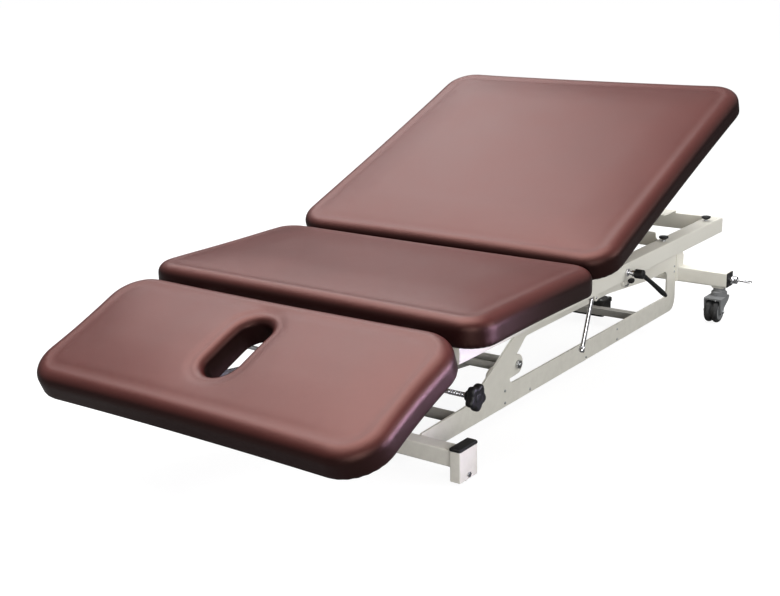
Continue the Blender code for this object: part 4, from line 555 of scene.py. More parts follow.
def bead_tree():
    """Rippled weld bead along each run of edges."""
    tree, take = geo_tree("weld_bead", Radius="Float", Step="Float", Ripple="Float")
    path = add(tree, "GeometryNodeMeshToCurve", in_Mesh=take["Geometry"])
    even = add(tree, "GeometryNodeResampleCurve", mode="LENGTH", in_Curve=path.outputs[0], in_Length=take["Step"])
    index = add(tree, "GeometryNodeInputIndex").outputs[0]
    wave = maths("SINE", maths("MULTIPLY", index, BEAD_TURN))
    swing = maths("MULTIPLY_ADD", wave, take["Ripple"], 1.0)
    return end_tree(tree, take, bar(tree, even, 8, take["Radius"], in_Scale=swing))


def thread_tree():
    """Screw thread: a fine wire wound up from the origin along +Z."""
    tree, take = geo_tree("screw_thread", Turns="Float", Radius="Float", Height="Float", Wire="Float")
    coil = add(tree, "GeometryNodeCurveSpiral", in_Resolution=20, in_Rotations=take["Turns"],
               in_Start_Radius=take["Radius"], in_End_Radius=take["Radius"], in_Height=take["Height"])
    return end_tree(tree, take, bar(tree, coil, 5, take["Wire"]))


def row_tree():
    """A rib repeated in a straight row."""
    tree, take = geo_tree("rib_row", Rib="Object", Count="Int", Offset="Vector")
    rib = add(tree, "GeometryNodeObjectInfo", in_Object=take["Rib"]).outputs["Geometry"]
    line = add(tree, "GeometryNodeMeshLine", in_Count=take["Count"], in_Offset=take["Offset"])
    return end_tree(tree, take, add(tree, "GeometryNodeInstanceOnPoints", in_Points=line.outputs[0],
                                    in_Instance=rib))


FASTENERS = fastener_tree()
BEAD = bead_tree()
THREAD = thread_tree()
ROW = row_tree()


def run_tree(tree, mesh, slot, **values):
    """Plain mesh that a tree makes from a mesh and its named inputs."""
    obj = linked("work", mesh)
    made = obj.modifiers.new("made", "NODES")
    made.node_group = tree
    values["Finish"] = FINISH[slot]
    for item in tree.interface.items_tree:
        if item.in_out == "INPUT" and item.name in values:
            made[item.identifier] = values[item.name]
    result = evaluated_mesh(obj)
    drop(obj)
    return result


def hex_head():
    """Hexagon head with a washer, for a thread of 8 mm."""
    washer = lathe([(0, 0), (7.8, 0), (8.2, 0.4), (8.2, 1.2), (7.8, 1.6), (0, 1.6)], steps=24)
    return joined(washer, skin_rings(turned_rings(((7.5, 1.4), (7.5, 6), (6.6, 6.8)), 6)))


def button_head():
    """Domed head with a hexagon socket, for a thread of 8 mm."""
    dome = turned_rings(((6.8, 0), (7, 0.8), (6.6, 2.2), (5.5, 3.4), (4, 4.1)), 18)
    sixth = pi / 6

    def hexagonal(x, y, z):
        flat = cos(sixth) / cos((atan2(y, x) + sixth) % (2 * sixth) - sixth)
        return x * flat, y * flat, z

    socket = turned_rings(((2.9, 4.2), (2.7, 1.8)), 18)
    return skin_rings(dome + [[hexagonal(*point) for point in ring] for ring in socket])


def pan_head():
    """Pan head with a recess, for a thread of 8 mm."""
    return lathe([(0, 0), (7.4, 0), (7.8, 1.2), (7.2, 3.4), (5.2, 4.6), (3, 4.8), (0, 2.6)], steps=16)


def rivet_head():
    return lathe([(0, 0), (5.2, 0), (5.8, 0.7), (5.4, 2), (3.6, 3.1), (0, 3.5)], steps=20)


def staple():
    """Wire staple: its crown along X, both ends bent down into the board."""
    half, thick = 0.00055, 0.0003
    path = ((-0.0052, -0.0003), (-0.0049, 0.00035), (-0.0044, 0.00055), (0.0044, 0.00055), (0.0049, 0.00035),
            (0.0052, -0.0003))
    return skin_rings([[(x, -half, z - thick), (x, half, z - thick), (x, half, z + thick), (x, -half, z + thick)]
                       for x, z in path])


HEADS = {"hex": hex_head, "button": button_head, "pan": pan_head, "rivet": rivet_head, "staple": staple}
FIXINGS = {}


def fix(kind, size, body, place, aim, along=None, slot="zinc"):
    """Notes one fastener; size is its thread in millimetres over 8."""
    rows = FIXINGS.setdefault((kind, size, body, slot), [])
    if along is None:
        turn = BOLT_TURN * len(rows)
        side = Vector(aim).orthogonal().normalized()
        along = side * cos(turn) + Vector(aim).normalized().cross(side) * sin(turn)
    rows.append((tuple(place), tuple(aim), tuple(along)))


def make_fixings():
    """One piece for each kind of fastener on each body."""
    for (kind, size, body, slot), rows in FIXINGS.items():
        places, aims, alongs = zip(*rows)
        head = linked(kind, mesh_of(HEADS[kind]()))
        mesh = bpy.data.meshes.new("points")
        mesh.from_pydata(places, [], [])
        for label, vectors in (("aim", aims), ("along", alongs)):
            field = mesh.attributes.new(label, "FLOAT_VECTOR", "POINT")
            field.data.foreach_set("vector", np.array(vectors, dtype=np.float32).ravel())
        made = run_tree(FASTENERS, mesh, slot, Head=head, Size=size)
        drop(head)
        tag = str(round(8 * size, 1)).replace(".", "_")
        fit(made, "%s_%s_%s" % (kind, tag, body), body, slot)


def welds(name, body, paths):
    """Painted weld beads along open runs of points."""
    verts = []
    edges = []
    for path in paths:
        first = len(verts)
        verts += path
        edges += [(first + i, first + i + 1) for i in range(len(path) - 1)]
    mesh = bpy.data.meshes.new("path")
    mesh.from_pydata(verts, edges, [])
    made = run_tree(BEAD, mesh, "cream_paint", Radius=BEAD_R, Step=BEAD_STEP, Ripple=BEAD_RIPPLE)
    fit(made, name, body, "cream_paint", smooth=60.0)


def thread(name, body, place, axis, radius, length, pitch):
    """Chrome screw thread on a stud."""
    made = run_tree(THREAD, bpy.data.meshes.new("none"), "chrome", Turns=length / pitch, Radius=radius,
                    Height=length, Wire=0.38 * pitch)
    made.transform(facing(axis, place))
    fit(made, name, body, "chrome", smooth=60.0)


def ribs(name, body, rib, count, offset, place):
    """Row of black ribs made flat and set in place."""
    shape = linked("rib", mesh_of(rib))
    made = run_tree(ROW, bpy.data.meshes.new("none"), "black_plastic", Rib=shape, Count=count, Offset=offset)
    drop(shape)
    made.transform(place)
    fit(made, name, body, "black_plastic")


# Cushions


def tilted(joint, angle):
    return Matrix.Translation(JOINT_AT[joint]) @ Matrix.Rotation(-angle, 4, "Y")


SECTIONS = {"head_section": tilted("head_tilt", HEAD_TILT), "upper_frame": tilted("head_tilt", 0.0),
            "back_section": tilted("back_tilt", BACK_TILT)}


def pad_steps(length, corner):
    return round((length - 2 * corner) / PAD_STEP), round((PAD_WIDTH - 2 * corner) / PAD_STEP)


def pad_outline(length, corner, inset, bow=0.0):
    """Rounded rectangle drawn in between its corners, centred on the origin."""
    hx = length / 2 - inset
    hy = PAD_WIDTH / 2 - inset
    radius = max(corner - inset, 0.25 * min(hx, hy, corner))
    points = []
    for k, here in enumerate(corner_arcs(hx, hy, radius, CORNER_STEPS + 1)):
        points += here
        out = Vector(((0, 1), (-1, 0), (0, -1), (1, 0))[k])
        sx, sy = CORNERS[(k + 1) % 4]
        after = Vector((sx * (hx - radius), sy * (hy - radius))) + out * radius
        steps = pad_steps(length, corner)[k % 2]
        for i in range(1, steps):
            t = i / steps
            points.append(tuple(Vector(here[-1]).lerp(after, t) - out * bow * 4 * t * (1 - t)))
    return points


def edge_distance(points, length, corner):
    """Distance in plan from the cushion's rounded outline, positive inside."""
    q = np.abs(points[:, :2]) - (np.array([length, PAD_WIDTH]) / 2 - corner)
    outside = np.linalg.norm(np.maximum(q, 0.0), axis=1)
    return corner - outside - np.minimum(q.max(axis=1), 0.0)


def slot_distance(points, centre):
    """Distance in plan from the nose slot's wall, positive outside the hole."""
    x = np.abs(points[:, 0] - centre) - (NOSE_LENGTH - NOSE_WIDTH) / 2
    return np.hypot(np.maximum(x, 0.0), points[:, 1]) - NOSE_WIDTH / 2


def on_top(flat, length):
    """Points in plan raised to the top, crowned from the way to its ends and to its sides."""
    rise = PAD_CROWN
    for spread, reach in zip(np.abs(np.array(flat)).T, (length / 2, PAD_WIDTH / 2)):
        share = np.clip((reach - spread - PAD_TOP_ROUND) / CROWN_REACH, 0.0, 1.0)
        rise = rise * share * share * (3.0 - 2.0 * share)
    return [(x, y, PAD_THICKNESS + z) for (x, y), z in zip(flat, rise)]


def edge_stations():
    """Rings of the cushion from its pocket round the edge: (inset, height, bow)."""
    stations = [(POCKET_INSET, POCKET_DEPTH, 0.0), (POCKET_INSET, 0.007, 0.0), (POCKET_INSET, 0.0, 0.0),
                (0.021, 0.0, 0.002)]
    low = PAD_BOTTOM_ROUND
    top = PAD_TOP_ROUND
    for a in np.radians(np.linspace(90, 0, 5)):
        stations.append((low - low * cos(a), low - low * sin(a), PAD_SIDE_BOW))
    stations += [(0.0, 0.022, PAD_SIDE_BOW), (0.0, 0.032, PAD_SIDE_BOW)]
    for a in np.radians(np.linspace(0, 90, 9)):
        stations.append((top - top * cos(a), PAD_THICKNESS - top + top * sin(a), PAD_SIDE_BOW))
    return stations


def edge_rings(length, corner, free_end, insets):
    """Rings from the pocket round the edge and onto the top as far as the insets say.

    The sides and the free end are fuller than the solid, a hinged end keeps to it.
    """
    rings = []
    for inset, height, bow in edge_stations():
        out = FULLER * max(1.0 - inset / POCKET_INSET, 0.0)
        outlines = (pad_outline(length, corner, inset - more, bow) for more in (0.0, out))
        rings.append([(full[0] if plain[0] * free_end > 0.0 else plain[0], full[1], height)
                      for plain, full in zip(*outlines)])
    for inset in insets:
        rings.append(on_top(pad_outline(length, corner, inset, PAD_SIDE_BOW * (1 - inset / BOW_FADE)), length))
    return rings


def plain_pad(length, corner, free_end):
    """Closed cover of a cushion without a slot."""
    half = min(length, PAD_WIDTH) / 2
    rings = edge_rings(length, corner, free_end, (0.033, 0.038, 0.044, 0.051, 0.060))
    for inset in np.linspace(0.060, 0.95 * half, round(half / 0.018))[1:]:
        rings.append(on_top(pad_outline(length, corner, inset), length))

    def zip_across(bm, layer):
        """Closes a ring across its short way, each point to its mirror."""
        count = len(layer)
        turn = pad_steps(length, corner)[0] + 2 * CORNER_STEPS
        for i in range(count):
            j = (i + 1) % count
            if layer[i].co.x < -1e-6 or layer[j].co.x < -1e-6:
                continue
            face = list(dict.fromkeys([layer[i], layer[j], layer[(turn - j) % count], layer[(turn - i) % count]]))
            if len(face) > 2 and bm.faces.get(face) is None:
                bm.faces.new(face)

    return skin_rings(rings, cap=zip_across)


def slotted_pad(length, corner, free_end, centre):
    """Closed cover of the head cushion: round the edge, over the top, down the nose slot and back under."""
    run = (NOSE_LENGTH - NOSE_WIDTH) / 2
    rings = edge_rings(length, corner, free_end, (0.033, 0.038))
    last = rings[-1]

    def beside_slot(grow):
        ring = []
        for x, y, _ in last:
            near = min(max(x, centre - run), centre + run)
            out = Vector((x - near, y)).normalized() * (NOSE_WIDTH / 2 + grow)
            ring.append((near + out.x, out.y))
        return ring

    near = beside_slot(NOSE_FLARE + 0.009)
    for share in np.linspace(0.0, 1.0, 13)[1:]:
        flat = [(a[0] + (b[0] - a[0]) * share, a[1] + (b[1] - a[1]) * share) for a, b in zip(last, near)]
        rings.append(on_top(flat, length))
    for grow in (0.006, 0.003):
        rings.append(on_top(beside_slot(NOSE_FLARE + grow), length))
    rim = [z - NOSE_FLARE for _, _, z in on_top(beside_slot(NOSE_FLARE), length)]
    for a in np.radians(np.linspace(90, 0, 8)):
        flat = beside_slot(NOSE_FLARE - NOSE_FLARE * cos(a))
        rings.append([(x, y, z + NOSE_FLARE * sin(a)) for (x, y), z in zip(flat, rim)])
    for share in (0.75, 0.5, 0.25, 0.06, 0.0):
        rings.append([(x, y, share * z) for (x, y), z in zip(beside_slot(0.0), rim)])
    for height in (0.0, POCKET_DEPTH):
        rings.append(at_height(beside_slot(NOSE_SLEEVE), height))
    return skin_rings(rings, loop=True)


def blurred(values, points):
    """Values evened out over their neighbours in space."""
    even = np.empty_like(values)
    squares = (points ** 2).sum(axis=1)
    for start in range(0, len(points), 500):
        rows = slice(start, start + 500)
        gaps = squares[rows, None] + squares - 2.0 * points[rows] @ points.T
        weights = np.exp(-gaps / (2.0 * SWELL_BLUR ** 2))
        even[rows] = weights @ values / weights.sum(axis=1)
    return even


def swell(obj, length, free_end):
    """Cloth pressure puffs the cover outwards where it isn't held, up to the cap."""
    rest = np.array([v.co for v in obj.data.vertices])
    normals = np.array([v.normal for v in obj.data.vertices])
    normals[rest[:, 2] > PAD_THICKNESS] = UP
    free = np.clip((rest[:, 2] - HELD_BELOW) / FREE_OVER, 0.0, 1.0)
    for end in (-1.0, 1.0):
        if end != free_end:
            free *= np.clip((length / 2 - end * rest[:, 0]) / HINGE_EASE, 0.0, 1.0)
    pins = obj.vertex_groups.new(name="held")
    for index, weight in enumerate(1.0 - free):
        if weight > 0.0:
            pins.add([index], float(weight), "REPLACE")
    cloth = obj.modifiers.new("cover", "CLOTH")
    for key, value in CLOTH.items():
        setattr(cloth.settings, key, value)
    cloth.settings.effector_weights.gravity = 0.0
    cloth.point_cache.frame_start = 1
    cloth.point_cache.frame_end = SWELL_FRAMES
    for step in range(1, SWELL_FRAMES + 1):
        bpy.context.scene.frame_set(step)
    puffed = evaluated_mesh(obj)
    moved = np.array([v.co for v in puffed.vertices]) - rest
    bpy.data.meshes.remove(puffed)
    obj.modifiers.remove(cloth)
    bpy.context.scene.frame_set(1)
    puff = blurred(np.clip((moved * normals).sum(axis=1), 0.0, SWELL_CAP), rest)
    obj.data.vertices.foreach_set("co", (rest + normals * (puff * free)[:, None]).ravel())


def hump(distance, place, width):
    return np.exp(-((distance - place) / width) ** 2)


def press_creases(mesh, length, radius, slot_centre):
    """Ridge and valley where the foam's edge meets the flat top, a dip round the slot, pleats at the corners."""
    points = np.empty(len(mesh.vertices) * 3)
    mesh.vertices.foreach_get("co", points)
    points = points.reshape(-1, 3)
    inset = edge_distance(points, length, radius)
    upper = np.clip((points[:, 2] - TOP_FROM) / TOP_OVER, 0.0, 1.0)
    rise = RIDGE_HEIGHT * hump(inset, RIDGE_INSET, RIDGE_WIDTH)
    rise -= VALLEY_DEPTH * hump(inset, VALLEY_INSET, VALLEY_WIDTH)
    if slot_centre is not None:
        rim = np.maximum(slot_distance(points, slot_centre) - NOSE_FLARE, 0.0)
        rise -= SLOT_DIP * hump(rim, 0.0, SLOT_DIP_REACH)
    wave = np.sin(9.0 * points[:, 0] + 1.3) * np.sin(7.0 * points[:, 1] + 0.4)
    wave += 0.5 * np.sin(21.0 * points[:, 0] - 15.0 * points[:, 1])
    points[:, 2] += upper * (rise + WAVE_HEIGHT * wave * np.clip(inset / WAVE_INSET, 0.0, 1.0))
    corner = np.abs(points[:, :2]) - (np.array([length, PAD_WIDTH]) / 2 - radius)
    round_part = (corner.min(axis=1) > 0.0) & (inset < PLEAT_INSET)
    turn = np.arctan2(corner[:, 1], corner[:, 0])
    low = np.clip(1.0 - points[:, 2] / PLEAT_TOP, 0.0, 1.0)
    fade = np.sin(np.clip(turn, 0.0, QUARTER) * 2.0)
    pleat = PLEAT_DEPTH * np.cos(turn * PLEATS + points[:, 2] * PLEAT_LEAN) * low * fade
    away = corner / np.maximum(np.linalg.norm(corner, axis=1), 1e-6)[:, None] * np.sign(points[:, :2])
    points[:, :2] += np.where(round_part, pleat, 0.0)[:, None] * away
    mesh.vertices.foreach_set("co", points.ravel())


def cushion(name, body, span, corner, free_end):
    """Padded cushion made flat and centred, then set in its section's place."""
    length = span[1] - span[0]
    middle = (span[0] + span[1]) / 2
    slot_centre = NOSE_AT - middle if name == "head" else None
    if slot_centre is None:
        cover = plain_pad(length, corner, free_end)
    else:
        cover = slotted_pad(length, corner, free_end, slot_centre)
    start = piece(cover, name + "_start", "vinyl", SOFT)
    swell(start, length, free_end)
    finer = start.modifiers.new("finer", "SUBSURF")
    finer.levels = finer.render_levels = 2
    mesh = evaluated_mesh(start)
    drop(start)
    press_creases(mesh, length, corner, slot_centre)
    spot = SECTIONS[body] @ Matrix.Translation((middle, 0.0, -HINGE_RISE))
    mesh.transform(spot)
    obj = piece(mesh, name + "_pad", "vinyl", SOFT)
    seat(obj, body, "vinyl", name + "_cushion")
    hem(name, length, corner, body, spot)
    staples(name, length, corner, middle, body, spot)


def hem(name, length, corner, body, spot):
    """Cover turned under the board's edge, its inner edge cut by hand."""
    rings = []
    for inset, height in ((HEM_OUTER, HEM_SEAT), (HEM_OUTER, HEM_UNDER), (HEM_INNER, HEM_UNDER),
                          (HEM_INNER, HEM_SEAT)):
        ring = []
        for i, (x, y) in enumerate(pad_outline(length, corner, inset)):
            wander = sum(size * sin(pace * i + start) for size, pace, start in HEM_WANDER)
            grow = 1 + 0.05 * wander / HEM_INNER if inset == HEM_INNER else 1.0
            ring.append((x * grow, y * grow, height))
        rings.append(ring)
    bm = skin_rings(rings, loop=True)
    bm.transform(spot)
    fit(bm, name + "_hem", body, "vinyl")


def on_bumper(x, y):
    """Whether a bumper meets the lowered back section there, in that section's own lengths."""
    for place in ("front", "rear"):
        low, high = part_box("bumper_%s_left" % place)
        spot = (low + high) / 2
        if hypot(x - spot.x + JOINT_AT["back_tilt"].x, abs(y) - spot.y) < BUMPER_ROOM:
            return True
    return False


def staples(name, length, corner, middle, body, spot):
    """Staples along the hem, left out where the hinges and the bumpers are."""
    path = [Vector(point) for point in pad_outline(length, corner, STAPLE_INSET)]
    turn = spot.to_3x3()
    hinge_side = 1.0 if name == "head" else -1.0
    travelled = 0.0
    for here, after in zip(path, path[1:] + path[:1]):
        travelled += (after - here).length
        if travelled < STAPLE_STEP:
            continue
        travelled -= STAPLE_STEP
        blocked = abs(here.x) > length / 2 - HINGE_ROOM
        if name == "mid":
            blocked = blocked and HINGE_INNER < abs(here.y) < HINGE_OUTER
        else:
            blocked = blocked and here.x * hinge_side > 0 and abs(here.y) < HINGE_END
        if blocked or (name == "back" and on_bumper(here.x + middle, here.y)):
            continue
        run = (after - here).normalized()
        fix("staple", 1.0, body, spot @ Vector((here.x, here.y, HEM_UNDER)), turn @ Vector(DOWN),
            turn @ Vector((run.x, run.y, 0.0)))


def make_cushions():
    """Each with its span from the hinge, its corner radius, and the end that is free."""
    cushion("head", "head_section", (-0.4276, -0.012), 0.095, -1.0)
    cushion("mid", "upper_frame", (0.012, 0.5833), 0.070, 0.0)
    cushion("back", "back_section", (0.018, 0.986), 0.085, 1.0)


# Fittings


def outward(side):
    return Vector((0.0, side, 0.0))


def caster_wheel(hand):
    """Twin tyres on one core, a dished grey disc on each face, and the axle's bolt heads."""
    hub = JOINT_AT["caster_roll_" + hand]
    body = "caster_wheel_" + hand
    half = WHEEL_HALF
    tyre = [(0, 4 - half), (28.5, 4 - half), (28.5, 0.5 - half), (30, -half)]
    for a in np.radians(np.linspace(-80, 80, 9)):
        tyre.append((WHEEL_R - 8.5 + 8.5 * cos(a), 10 * sin(a) - 12.7))
    tyre.append((29.5, -2.2))
    tyre += [(radius, -height) for radius, height in reversed(tyre)]
    fit(lathe(tyre, (0, 1, 0), hub, 64), "caster_tyres_" + hand, body, "tyre_rubber", body)
    dish = [(0, 0), (HUB_DISC_R, 0), (HUB_DISC_R, 3), (26.2, 3.7), (24, 3.7), (22.8, 2.2), (15, 1.4), (12.5, 3),
            (11.5, 3.4), (0, 3.4)]
    faces = []
    for way in (-1.0, 1.0):
        out = outward(way)
        faces.append(lathe(dish, out, hub + out * (half - 4) / 1000, 64))
        fix("hex", 0.75, "caster_fork_" + hand, hub + out * 0.0296, out)
    fit(joined(*faces), "caster_discs_" + hand, body, "caster_grey")


def star_knob(hand, side):
    """Five-lobed grip with rounded edges on a hub, closed by a low boss."""
    spot = JOINT_AT["star_knob_turn_" + hand]
    body = "star_knob_" + hand
    levels = [(12, 0, -25), (13, 0, -24), (13, 0, -13)]
    levels += [(scale * KNOB_R, scale * lobe * KNOB_LOBE, height) for lobe, scale, height in (
        (0.3, 0.60, -11), (1, 0.86, -10.4), (1, 0.95, -8.8), (1, 0.995, -5), (1, 1, 0), (1, 0.99, 4.4),
        (1, 0.945, 8.2), (1, 0.86, 10.2), (0.9, 0.72, 10.6), (0.5, 0.52, 9.6), (0.1, 0.42, 9.4), (0, 0.40, 10.6),
        (0, 0.36, 11), (0, 0.05, 11))]
    grip = lobed(levels, spot, side, 120, KNOB_LOBES, QUARTER)
    fit(grip, "star_grip_" + hand, body, "black_plastic", body, smooth=50.0)
    out = outward(side)
    thread("clamp_rod_thread_" + hand, "upper_frame", spot - out * 0.075, out, radius=0.0060, length=0.048,
           pitch=0.0016)


def sweep_round(path, radii, steps=20):
    """Closed tapering rod along points."""
    rings = []
    for k, point in enumerate(path):
        ahead = (path[min(k + 1, len(path) - 1)] - path[max(k - 1, 0)]).normalized()
        side = ahead.cross(outward(1.0)).normalized()
        up = side.cross(ahead).normalized()
        rings.append([tuple(point + side * x + up * y) for x, y in circle(radii[k], steps)])
    return skin_rings(rings)


def softened(bm, voxel, passes):
    """Shells run together into one rounded moulding."""
    raw = linked("raw", mesh_of(bm))
    together = raw.modifiers.new("together", "REMESH")
    together.mode = "VOXEL"
    together.voxel_size = voxel
    ease = raw.modifiers.new("ease", "SMOOTH")
    ease.factor = 0.5
    ease.iterations = passes
    mesh = evaluated_mesh(raw)
    drop(raw)
    return mesh


def clamp_lever(hand, side):
    """Moulded lever: a round hub, a shoulder and a long grip that thickens to its end."""
    body = "clamp_lever_" + hand
    low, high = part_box(body)
    stud = JOINT_AT["clamp_lever_turn_" + hand]
    out = outward(side)
    centre = stud + out * 0.016
    elbow = centre + Vector((0.030, 0.0, -0.012))
    tip = Vector((high.x - 0.006, side * (max(abs(low.y), abs(high.y)) - 0.007), low.z + 0.006))
    path = []
    radii = []
    for t in np.linspace(0.0, 1.0, 22):
        path.append(centre * (1 - t) ** 2 + elbow * 2 * t * (1 - t) + tip * t ** 2)
        radii.append(0.0088 - 0.0026 * sin(min(t / 0.5, 1.0) * QUARTER) + 0.0018 * max(t - 0.5, 0.0) * 2)
    radii[-1] *= 0.55
    radii[-2] *= 0.88
    hub = lathe([(0, 0), (12, 0), (13, 1.2), (13, 23.5), (11.2, 25.5), (7, 26.2), (0, 26.2)], out, stud, 40)
    grip = softened(joined(hub, sweep_round(path, radii)), 0.0013, 3)
    fit(grip, "clamp_grip_" + hand, body, "black_plastic", body, smooth=60.0)
    fix("button", 0.62, body, stud + out * 0.0256, out, slot="black_plastic")
    thread("stud_thread_" + hand, "upper_frame", stud - out * 0.020, out, radius=0.0060, length=0.0115,
           pitch=0.0013)


def rail_catch(hand, side):
    """Small painted plate under the rail with a white pivot button and a black wing knob."""
    inner, outer = side * 0.4000, side * 0.4045
    outline = [(0.2440, 0.3224), (0.3020, 0.3224), (0.3020, 0.3160)]
    outline += arc((0.2930, 0.3160), 0.0090, 0.0, -QUARTER, 7)[1:]
    outline += arc((0.2530, 0.3160), 0.0090, -QUARTER, -pi, 7)
    plate = skin_rings([[(x, y, z) for x, z in outline] for y in (inner, outer)])
    fit(plate, "rail_catch_" + hand, "upper_frame", "cream_paint")
    button = lathe([(0, 0), (7.2, 0), (7.6, 1), (7, 3), (5, 3.8), (0, 4)],
                   (0, side, 0), (0.2535, outer, 0.3158), 32)
    fit(button, "catch_button_" + hand, "upper_frame", "cream_paint")
    levels = [(8.8 * scale, 2.6 * scale, height) for scale, height in (
        (0.55, 0), (0.55, 3.5), (0.94, 4.2), (1, 5.6), (1, 11), (0.92, 12.6), (0.5, 13.2), (0.05, 13.3))]
    wing = lobed(levels, (0.2877, outer, 0.3172), side, 48, 2, start=0.5)
    fit(wing, "wing_knob_" + hand, "upper_frame", "black_plastic", smooth=50.0)


def bumper(name):
    """Rubber mushroom on a stem with a washer."""
    low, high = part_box(name)
    spot = Vector(((low.x + high.x) / 2, (low.y + high.y) / 2, low.z))
    tall = 1000 * (high.z - low.z)
    wide = 500 * (high.x - low.x)
    cap = [(0, 4.2), (6, 4.2), (7.4, 5)]
    cap += [(across * wide, up * tall) for across, up in (
        (0.62, 0.42), (0.90, 0.58), (0.985, 0.70), (1.0, 0.80), (0.975, 0.90), (0.90, 0.965), (0.70, 0.993),
        (0.0, 1.0))]
    fit(lathe(cap, UP, spot, 40), name + "_cap", "upper_frame", "black_plastic", name, smooth=50.0)
    stem = [(0, 0), (7, 0), (7, 1.2), (4, 1.3), (4, 4.5), (0, 4.5)]
    fit(lathe(stem, UP, spot, 24), name + "_stem", "upper_frame", "zinc")


def rail_plug(hand, side):
    """Painted plug in the rail's front end."""
    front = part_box("side_rail_" + hand)[0].x
    rings = []
    for inset, corner, x in ((0.0022, 0.004, -0.0030), (0.0006, 0.005, -0.0022), (0.0003, 0.005, -0.0002),
                             (0.0031, 0.0025, -0.0002), (0.0031, 0.0025, 0.014), (0.0045, 0.002, 0.016)):
        half = RAIL_HALF - inset
        rings.append([(front + x, side * RAIL_Y + a, RAIL_Z + b)
                      for a, b in sum(corner_arcs(half, half, corner, 6), [])])
    fit(skin_rings(rings), "rail_plug_" + hand, "upper_frame", "cream_paint")


def plunger_details(hand, side):
    """Thread and hexagon on the plunger's collar."""
    body = "plunger_" + hand
    seat_at = JOINT_AT["plunger_pull_" + hand]
    levels = ((12.6, 0, 0.6), (14, 0, 1.6), (14, 0, 7.4), (12.6, 0, 8.4))
    fit(lobed(levels, seat_at, side, 6), "plunger_nut_" + hand, body, "chrome")
    out = outward(side)
    thread("plunger_thread_" + hand, body, seat_at + out * 0.0092, out, radius=0.0119, length=0.0140,
           pitch=0.0015)


def control_box_details():
    """Lid with a seam, cooling ribs and screws on the control box."""
    low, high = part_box("control_box")
    middle = (low.x + high.x) / 2
    rings = []
    for grow, z in ((0.0012, -0.0130), (0.0016, -0.0120), (0.0016, -0.0015), (-0.0004, 0.0008)):
        half = (high - low) / 2 + Vector((grow, grow, 0.0))
        rings.append([(middle + a, b, high.z + z) for a, b in sum(corner_arcs(half.x, half.y, 0.005, 6), [])])
    fit(skin_rings(rings), "control_box_lid", "base", "black_plastic")
    bar_outline = ((0.0, -0.0011), (0.0, 0.0011), (0.030, 0.0011), (0.030, -0.0011))
    rib = skin_rings([at_height(bar_outline, z) for z in (0.0, 0.0018)])
    ribs("control_box_ribs", "base", rib, 11, (0.0, 0.0080, 0.0),
         Matrix.Translation((middle - 0.015, -0.040, high.z + 0.0006)))
    for x in (low.x + 0.008, high.x - 0.008):
        for y in (-0.053, 0.053):
            fix("pan", 0.5, "base", (x, y, high.z + 0.0007), UP)


def actuator_details():
    """Cooling fins round the motor and a clamp ring at the tube's mouth."""
    hinge = JOINT_AT["actuator_swing"]
    along = (hinge - JOINT_AT["actuator_rod_turn"]).normalized()
    fin = lathe([(0, 0), (25.5, 0), (27.6, 0.5), (27.6, 1.7), (25.5, 2.2), (0, 2.2)])
    ribs("motor_fins", "actuator_body", fin, 8, (0.0, 0.0, 0.0052), facing(along, hinge + along * 0.116))
    mouth = lathe([(10.4, 0), (18.5, 0), (20, 1.5), (20, 10.5), (18.5, 12), (10.4, 12), (10.4, 0)], along,
                  hinge - along * 0.100)
    bmesh.ops.remove_doubles(mouth, verts=mouth.verts, dist=1e-6)
    fit(mouth, "actuator_mouth", "actuator_body", "zinc")
    side = outward(1.0)
    for turn in (0.4, 1.97, 3.54, 5.11):
        spot = side * cos(turn) + along.cross(side) * sin(turn)
        fix("pan", 0.5, "actuator_body", hinge + along * 0.0598 + spot * 0.0258, -along)


def release_tip():
    """Rounded sleeve on the hanging lever's end."""
    lean = radians(21.7)
    down = Vector((-sin(lean), 0.0, -cos(lean)))
    sleeve = [(0, 136), (6.6, 136), (7.8, 137.2), (8, 148), (7.2, 150.8), (4.6, 152.4), (0, 152.8)]
    fit(lathe(sleeve, down, JOINT_AT["release_lever_swing"], 36), "release_tip", "release_lever", "chrome",
        smooth=50.0)


def plate_bolts():
    """Small bolts in the base's side plates and the heads of its pivots."""
    spots = ((-0.0923, 0.0712), (-0.0923, 0.0366), (0.0426, 0.0352), (0.3769, 0.0336), (0.5831, 0.0669),
             (0.5831, 0.0336), (1.0060, 0.1746), (1.0060, 0.1567))
    for _, side in SIDES:
        out = outward(side)
        for x, z in spots:
            fix("button", 0.56, "base", (x, side * PLATE_FACE, z), out)
        for name, face in PIVOT_FACES.items():
            fix("button", 1.0, "base", (JOINT_AT[name].x, side * face, JOINT_AT[name].z), out)
        for name in ("head_tilt", "back_tilt"):
            fix("rivet", 1.0, "upper_frame", (JOINT_AT[name].x, side * HINGE_FACE, JOINT_AT[name].z), out)


def board_screws():
    """Screws through the straps and cross members into the boards."""
    straps = {"head_section": ((-0.050, (0.060, 0.260)), (-0.190, (0.115,)), (-0.330, (0.200,))),
              "back_section": ((0.050, (0.060, 0.260)), (0.300, (0.115,)), (0.560, (0.115,)), (0.790, (0.200,)))}
    spots = [(body, SECTIONS[body], x, y, STRAP_UNDER)
             for body, rows in straps.items() for x, ys in rows for y in ys]
    spots += [("upper_frame", Matrix(), x, y, CROSS_UNDER) for x in CROSS_AT for y in (0.225, 0.300)]
    for body, place, x, y, z in spots:
        for _, side in SIDES:
            fix("pan", 0.75, body, place @ Vector((x, side * y, z)), place.to_3x3() @ Vector(DOWN))


